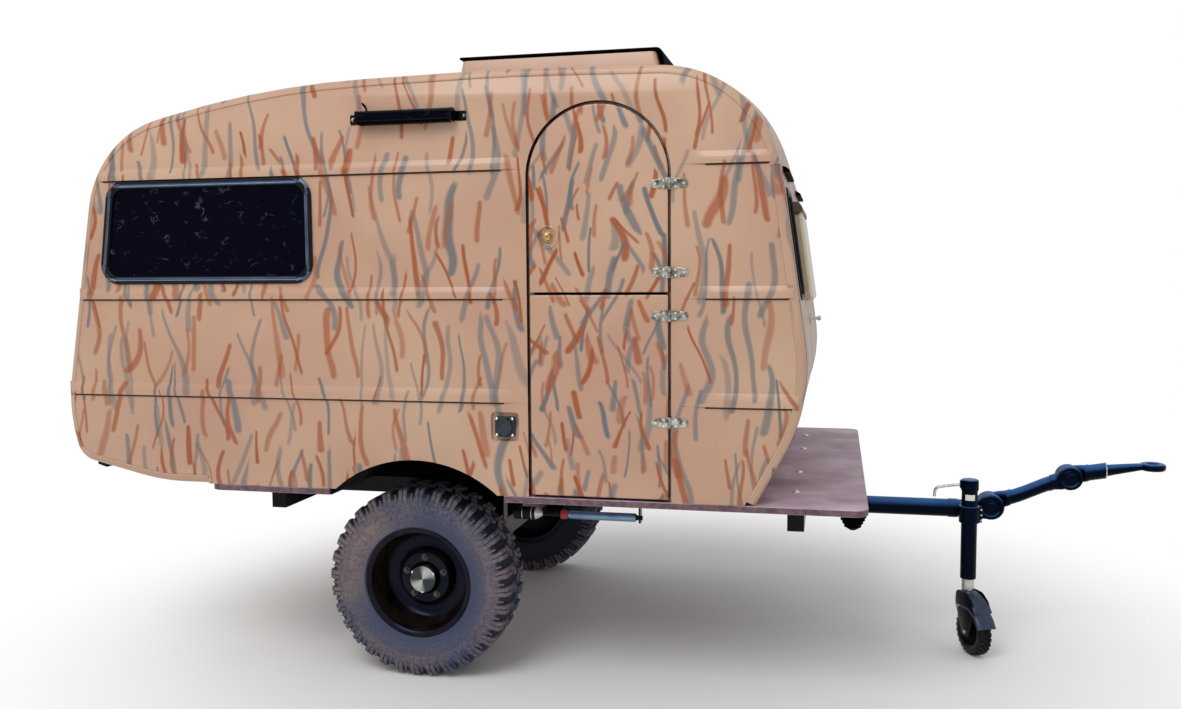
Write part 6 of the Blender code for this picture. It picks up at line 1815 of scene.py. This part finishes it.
# Columns: x, middle height, half width, half height, all in millimetres; squareness
DOME = (
    (-30.5, 223, 25, 12, 2.4), (-28, 229, 30, 19, 2.8), (-20, 232.5, 33, 25, 3.2),
    (0, 234, 33.8, 27.2, 3.6), (30, 233.8, 33.8, 27, 3.6), (55, 231, 34.5, 24, 3.4),
    (75, 226.2, 36.5, 19, 3.2), (92, 219, 39, 14, 3.0), (106, 208, 40, 10, 2.8), (118, 195, 40, 6, 2.6),
)
dome = lofted([(x, 0, *sizes) for x, *sizes in DOME])
piece("jockey_hood", merged(hood, dome), HOOD_PLASTIC, "jockey_fork", turn=CASTER_TURN)

# %% Small wheel
# Half sections: distance from the middle plane, radius
SMALL_TYRE = mm((18, 56), (22.5, 60), (26.5, 65), (28, 74), (27, 84), (22.5, 91.5), (14, 95), (0, 96))
SMALL_RIM = mm((28, 8.7), (28, 19), (26.2, 29), (20.5, 43), (20, 50), (22.5, 59))
# Rows of blocks: middle, half width, outer radius, turn of the row as a share of the pitch
SMALL_ROWS = (
    (-0.0165, 0.0055, 0.0985, 0.0), (-0.0055, 0.0045, 0.0998, 0.5), (0.0055, 0.0045, 0.0998, 0.0),
    (0.0165, 0.0055, 0.0985, 0.5),
)
SMALL_BLOCKS = 26
# Half of what a block takes up of the turn
BLOCK_TURN = 0.072


def mirrored(half):
    """A half section and its mirror image as one loop."""
    return list(half) + [(-away, radius) for away, radius in reversed(half) if away > 0]


tread = turned(mirrored(SMALL_TYRE), "Y", CASTER_HUB, 52, loop=True)
for middle_y, half, top, phase in SMALL_ROWS:
    for k in range(SMALL_BLOCKS):
        turn = (k + phase) * math.tau / SMALL_BLOCKS
        rings = []
        for radius, wide in ((0.09, 1.1), (top - 0.001, 1.0), (top, 0.86)):
            line = rectangle(-wide * BLOCK_TURN, wide * BLOCK_TURN, -wide * half, wide * half)
            rings.append([tread.verts.new(about_hub(turn + a, radius, middle_y + b)) for a, b in line])
        skinned(tread, rings)
piece("jockey_tyre", tread, RUBBER, "jockey_wheel", "jockey_wheel", turn=CASTER_TURN)
rim = turned(mirrored(SMALL_RIM), "Y", CASTER_HUB, 48, loop=True)
piece("jockey_rim", rim, BLACK_PLASTIC, "jockey_wheel", turn=CASTER_TURN)

# %% [markdown]
# ## Drawbar and coupling
# The coupling folds in two clamped knuckles. Each half of a knuckle is a turned disc with a bolt head sunk in
# it, and the necks that lead to the tubes are lofts whose section changes from round to nearly square.

# %% Knuckles
# Columns: share of the depth, share of the radius
KNUCKLE_SECTION = (
    (0.0, 0.0), (0.0, 0.94), (0.05, 1.0), (0.3, 1.0), (0.33, 0.96), (0.4, 0.96), (0.43, 1.0),
    (0.78, 1.0), (0.9, 0.965), (0.98, 0.88), (1.0, 0.8), (0.98, 0.72), (0.88, 0.68), (0.74, 0.66),
    (0.72, 0.62), (0.72, 0.0),
)


def knuckle(x, z, radius, inner, outer):
    """Half a knuckle from the joint plane to its outer face, with the bolt head in its dish."""
    deep, centre = outer - inner, (x, 0.0, z)
    disc = turned([(inner + deep * a, radius * r) for a, r in KNUCKLE_SECTION], "Y", centre, 64)
    bed, washer_face, head_face = (inner + deep * share for share in (0.7, 0.87, 0.985))
    head = soft_prism(circle((x, z), radius * 0.36, 6), "Y", bed, head_face, 0.0015, 2)
    washer = ((bed, 0.0), (bed, radius * 0.5), (washer_face, radius * 0.47), (washer_face, 0.0))
    return merged(disc, head, turned(washer, "Y", centre, 40))


print("knuckles ready")

# %% Sizes of the coupling
KNUCKLE_1 = (2.25, 0.6, 0.0545)
KNUCKLE_2 = (2.56, 0.733, 0.05)
# Columns: x, middle y and z, half width, half height, all in millimetres; squareness
DRAWBAR_STATIONS = (
    (760, 0, 583, 37.5, 37.5, 2.0), (2080, 0, 583, 37.5, 37.5, 2.0), (2081, 0, 583, 40, 40, 2.0),
    (2118, 0, 583, 40, 40, 2.0), (2119, 0, 583, 37.5, 37.5, 2.0), (2182, 0, 583, 37.5, 37.5, 2.0),
    (2186, -1, 583.5, 36.5, 38, 2.1), (2205, -10, 587, 31, 43, 2.6), (2232, -22, 594, 22, 48, 3.6),
    (2250, -24, 600, 20, 48, 4.0),
)
ARM_STATIONS = (
    (2250, 24, 602, 20, 47, 4.0), (2280, 18, 616, 22.5, 42, 3.2), (2306, 6, 628.5, 28, 36, 2.4),
    (2313, 0, 632, 31, 34.5, 2.0), (2330, 0, 638, 31.2, 34.5, 2.0), (2332, 0, 638.5, 29, 31.5, 2.0),
    (2350, 0, 645, 29, 31.5, 2.0), (2372, 0, 653.5, 29, 31.5, 2.0), (2400, 0, 666, 29, 31.5, 2.0),
    (2430, 0, 680, 29, 31.5, 2.0), (2460, 0, 694, 29, 31.5, 2.0), (2484, 0, 704, 29, 31.5, 2.0),
    (2486, 0, 704.8, 31.2, 34, 2.0), (2503, 0, 711.2, 31, 34, 2.0), (2508, -2, 713.5, 28.5, 34.5, 2.2),
    (2530, -14, 722, 22, 40, 3.0), (2560, -21, 733, 19, 42, 4.0),
)
EYE_STATIONS = (
    (2560, 21, 734, 19, 42, 4.0), (2590, 15, 742.5, 23.5, 39, 3.2), (2610, 4, 748, 30, 37, 2.4),
    (2616, 0, 750, 34.5, 35.5, 2.0), (2634, 0, 753.3, 34.5, 35.5, 2.0), (2636, 0, 753.7, 32.5, 33, 2.0),
    (2690, 0, 763.5, 32.5, 33, 2.0), (2699.5, 0, 765, 32, 32.5, 2.0), (2700, 0, 765, 24.5, 25, 2.0),
    (2730, 0, 770, 22.5, 22.5, 2.0), (2775, 0, 777, 20, 19.5, 2.0), (2812, 0, 782.5, 19, 16.5, 2.2),
    (2836, 0, 786, 22, 14, 2.6), (2850, 0, 787, 26, 13, 2.8),
)
# Section of the eye's ring: height from its middle, radius
EYE_SECTION = mm(
    (-15, 32), (-13.8, 26), (-9, 22), (0, 21), (9, 22), (13.8, 26), (15, 32), (14.6, 41), (11.5, 46.5),
    (5, 49.5), (-5, 49.5), (-11.5, 46.5), (-14.6, 41),
)
# Profile of the socket's rolled edge: x, radius
SOCKET_EDGE = mm(
    (2697.5, 32.2), (2697.5, 34), (2701, 34.2), (2702.2, 33), (2702.2, 24), (2699.8, 24), (2699.8, 32.2),
)
print("coupling sizes ready")

# %% Drawbar, arm and eye
hangers = [box(x - 0.03, x + 0.03, -0.06, 0.06, 0.583, 0.6647) for x in (0.79, 1.469)]
drawbar = merged(lofted(DRAWBAR_STATIONS), knuckle(*KNUCKLE_1, -0.0003, -0.048), *hangers)
piece("drawbar_tube", drawbar, NAVY_ENAMEL, "caravan", "drawbar")
arm = merged(lofted(ARM_STATIONS), knuckle(*KNUCKLE_1, 0.0003, 0.048), knuckle(*KNUCKLE_2, -0.0003, -0.042))
piece("coupling_tube", arm, NAVY_ENAMEL, "coupling_arm", "coupling_arm")
ring = turned(from_face(EYE_SECTION, 0.787), "Z", (2.88, 0.0, 0.0), 64, loop=True)
eye = merged(lofted(EYE_STATIONS), knuckle(*KNUCKLE_2, 0.0003, 0.042), ring)
piece("towing_eye", eye, NAVY_ENAMEL, "tow_eye", "tow_eye")
edge = turned(SOCKET_EDGE, "X", (0.0, 0.0, 0.765), 48, loop=True)
piece("socket_edge", edge, ZINC, "tow_eye")

# %% [markdown]
# ## Finishes of the plain solids
# Solids whose shape is already right keep their mesh, because a finer copy would look the same. They only
# take a finish here: enamel on the frame, moulded plastic on the wheel arches, zinc on the inner tube.

# %% Finishes for the nodes that stay
KEPT = {
    ENAMEL: ("chassis_frame", "axle_beam", "suspension_arm_right", "suspension_arm_left", "rear_bar"),
    BLACK_PLASTIC: ("wheel_arch_right", "wheel_arch_left", "light_bar_lead"),
    ZINC: ("jockey_inner_tube",),
}
for material, names in KEPT.items():
    dress(material, *names)
print(sum(map(len, KEPT.values())), "nodes keep their shape")

# %% [markdown]
# ## Floor, light and camera
# The caravan stands on a plain pale floor under a soft sky, with one broad lamp high on the door side. The
# background is white because the floor and the sky look white to the camera, not because more light falls.

# %% Floor
FLOOR_HALF = 60.0


def studio_floor():
    material, tree, shader = new_material("pale studio floor", "F2F2F0", 0.9)
    where = add_node(tree, "TexCoord").outputs["Object"]
    mottle = add_node(tree, "TexNoise", {"Vector": where, "Scale": 3.0})
    shade = add_node(
        tree, "Mix", {"Factor": mottle, "A": linear("F0F0EE"), "B": linear("F6F6F4")}, data_type="RGBA"
    )
    feed(shader, "Base Color", shade.outputs["Result"])
    # Beyond the shadow, the camera sees the floor as white as the sky
    away = add_node(tree, "VectorMath", [where], operation="LENGTH")
    far_off = add_node(
        tree, "MapRange", [away.outputs["Value"], 1.2, 3.1, 0.0, 1.0], interpolation_type="SMOOTHSTEP"
    )
    rays = add_node(tree, "LightPath").outputs
    seen = add_node(tree, "Math", [rays["Is Camera Ray"], rays["Is Transmission Ray"]], operation="MAXIMUM")
    amount = add_node(tree, "Math", [far_off, seen], operation="MULTIPLY")
    white = add_node(tree, "Emission", {"Color": (1.0, 1.0, 1.0, 1.0), "Strength": 1.0})
    both = add_node(tree, "MixShader", [amount, shader, white])
    tree.links.new(both.outputs[0], tree.nodes["Material Output"].inputs["Surface"])
    mesh = bmesh.new()
    corners = square_at(0.0, 0.0, FLOOR_HALF, 0.0)
    mesh.faces.new([mesh.verts.new((*p, 0.0)) for p in corners])
    floor = item("studio_floor", mesh)
    floor.data.materials.append(material)
    floor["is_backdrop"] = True
    print("floor ready")


studio_floor()

# %% Sky and lamp
world = bpy.data.worlds.new("studio sky")
bpy.context.scene.world = world
world.use_nodes = True
sky = world.node_tree
sky.nodes.clear()
rays = add_node(sky, "LightPath").outputs
seen = add_node(sky, "Math", [rays["Is Camera Ray"], rays["Is Transmission Ray"]], operation="MAXIMUM")
# The sky is brighter overhead than at the horizon, as on an overcast day
high = add_node(sky, "TexCoord").outputs["Generated"]
high = add_node(sky, "SeparateXYZ", [high])
glow = add_node(sky, "MapRange", [high.outputs["Z"], 0.0, 1.0, 0.55, 0.72])
level = add_node(sky, "MapRange", [seen, 0.0, 1.0, glow, 1.0])
plain = add_node(sky, "Background", {"Color": (1.0, 1.0, 1.0, 1.0), "Strength": level})
add_node(sky, "OutputWorld", [plain])

LAMP_AT = Vector((-1.5, -6.5, 7.5))
LAMP_AIM = Vector((0.0, 0.0, 1.2))
lamp = bpy.data.lights.new("broad lamp", "AREA")
lamp.shape = "DISK"
lamp.size = 5.0
lamp.energy = 300.0
lamp_object = bpy.data.objects.new("broad_lamp", lamp)
aim = (LAMP_AIM - LAMP_AT).to_track_quat("-Z", "Y")
lamp_object.matrix_world = Matrix.Translation(LAMP_AT) @ aim.to_matrix().to_4x4()
bpy.context.scene.collection.objects.link(lamp_object)
print("light ready")

# %% Camera
# The place and turns were fitted to the photograph by the wheels, the deck's corners and the drawbar
CAMERA_AT = Vector((0.8663, -4.733, 1.5963))
YAW, PITCH, ROLL = 0.2271, 0.076, -0.0068
ahead = Vector((-math.sin(YAW), math.cos(YAW), 0.0))
right = Vector((math.cos(YAW), math.sin(YAW), 0.0))
above = Vector((0.0, 0.0, 1.0))
look = ahead * math.cos(PITCH) - above * math.sin(PITCH)
top = ahead * math.sin(PITCH) + above * math.cos(PITCH)
right, top = right * math.cos(ROLL) + top * math.sin(ROLL), top * math.cos(ROLL) - right * math.sin(ROLL)
camera = bpy.data.cameras.new("camera")
camera.lens = 32.37
camera_object = bpy.data.objects.new("camera", camera)
axes = Matrix((right, top, -look)).transposed().to_4x4()
camera_object.matrix_world = Matrix.Translation(CAMERA_AT) @ axes
bpy.context.scene.collection.objects.link(camera_object)
bpy.context.scene.camera = camera_object
bpy.context.scene.view_settings.view_transform = "Standard"
print("camera ready")

# %% Sizes and end
low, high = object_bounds()
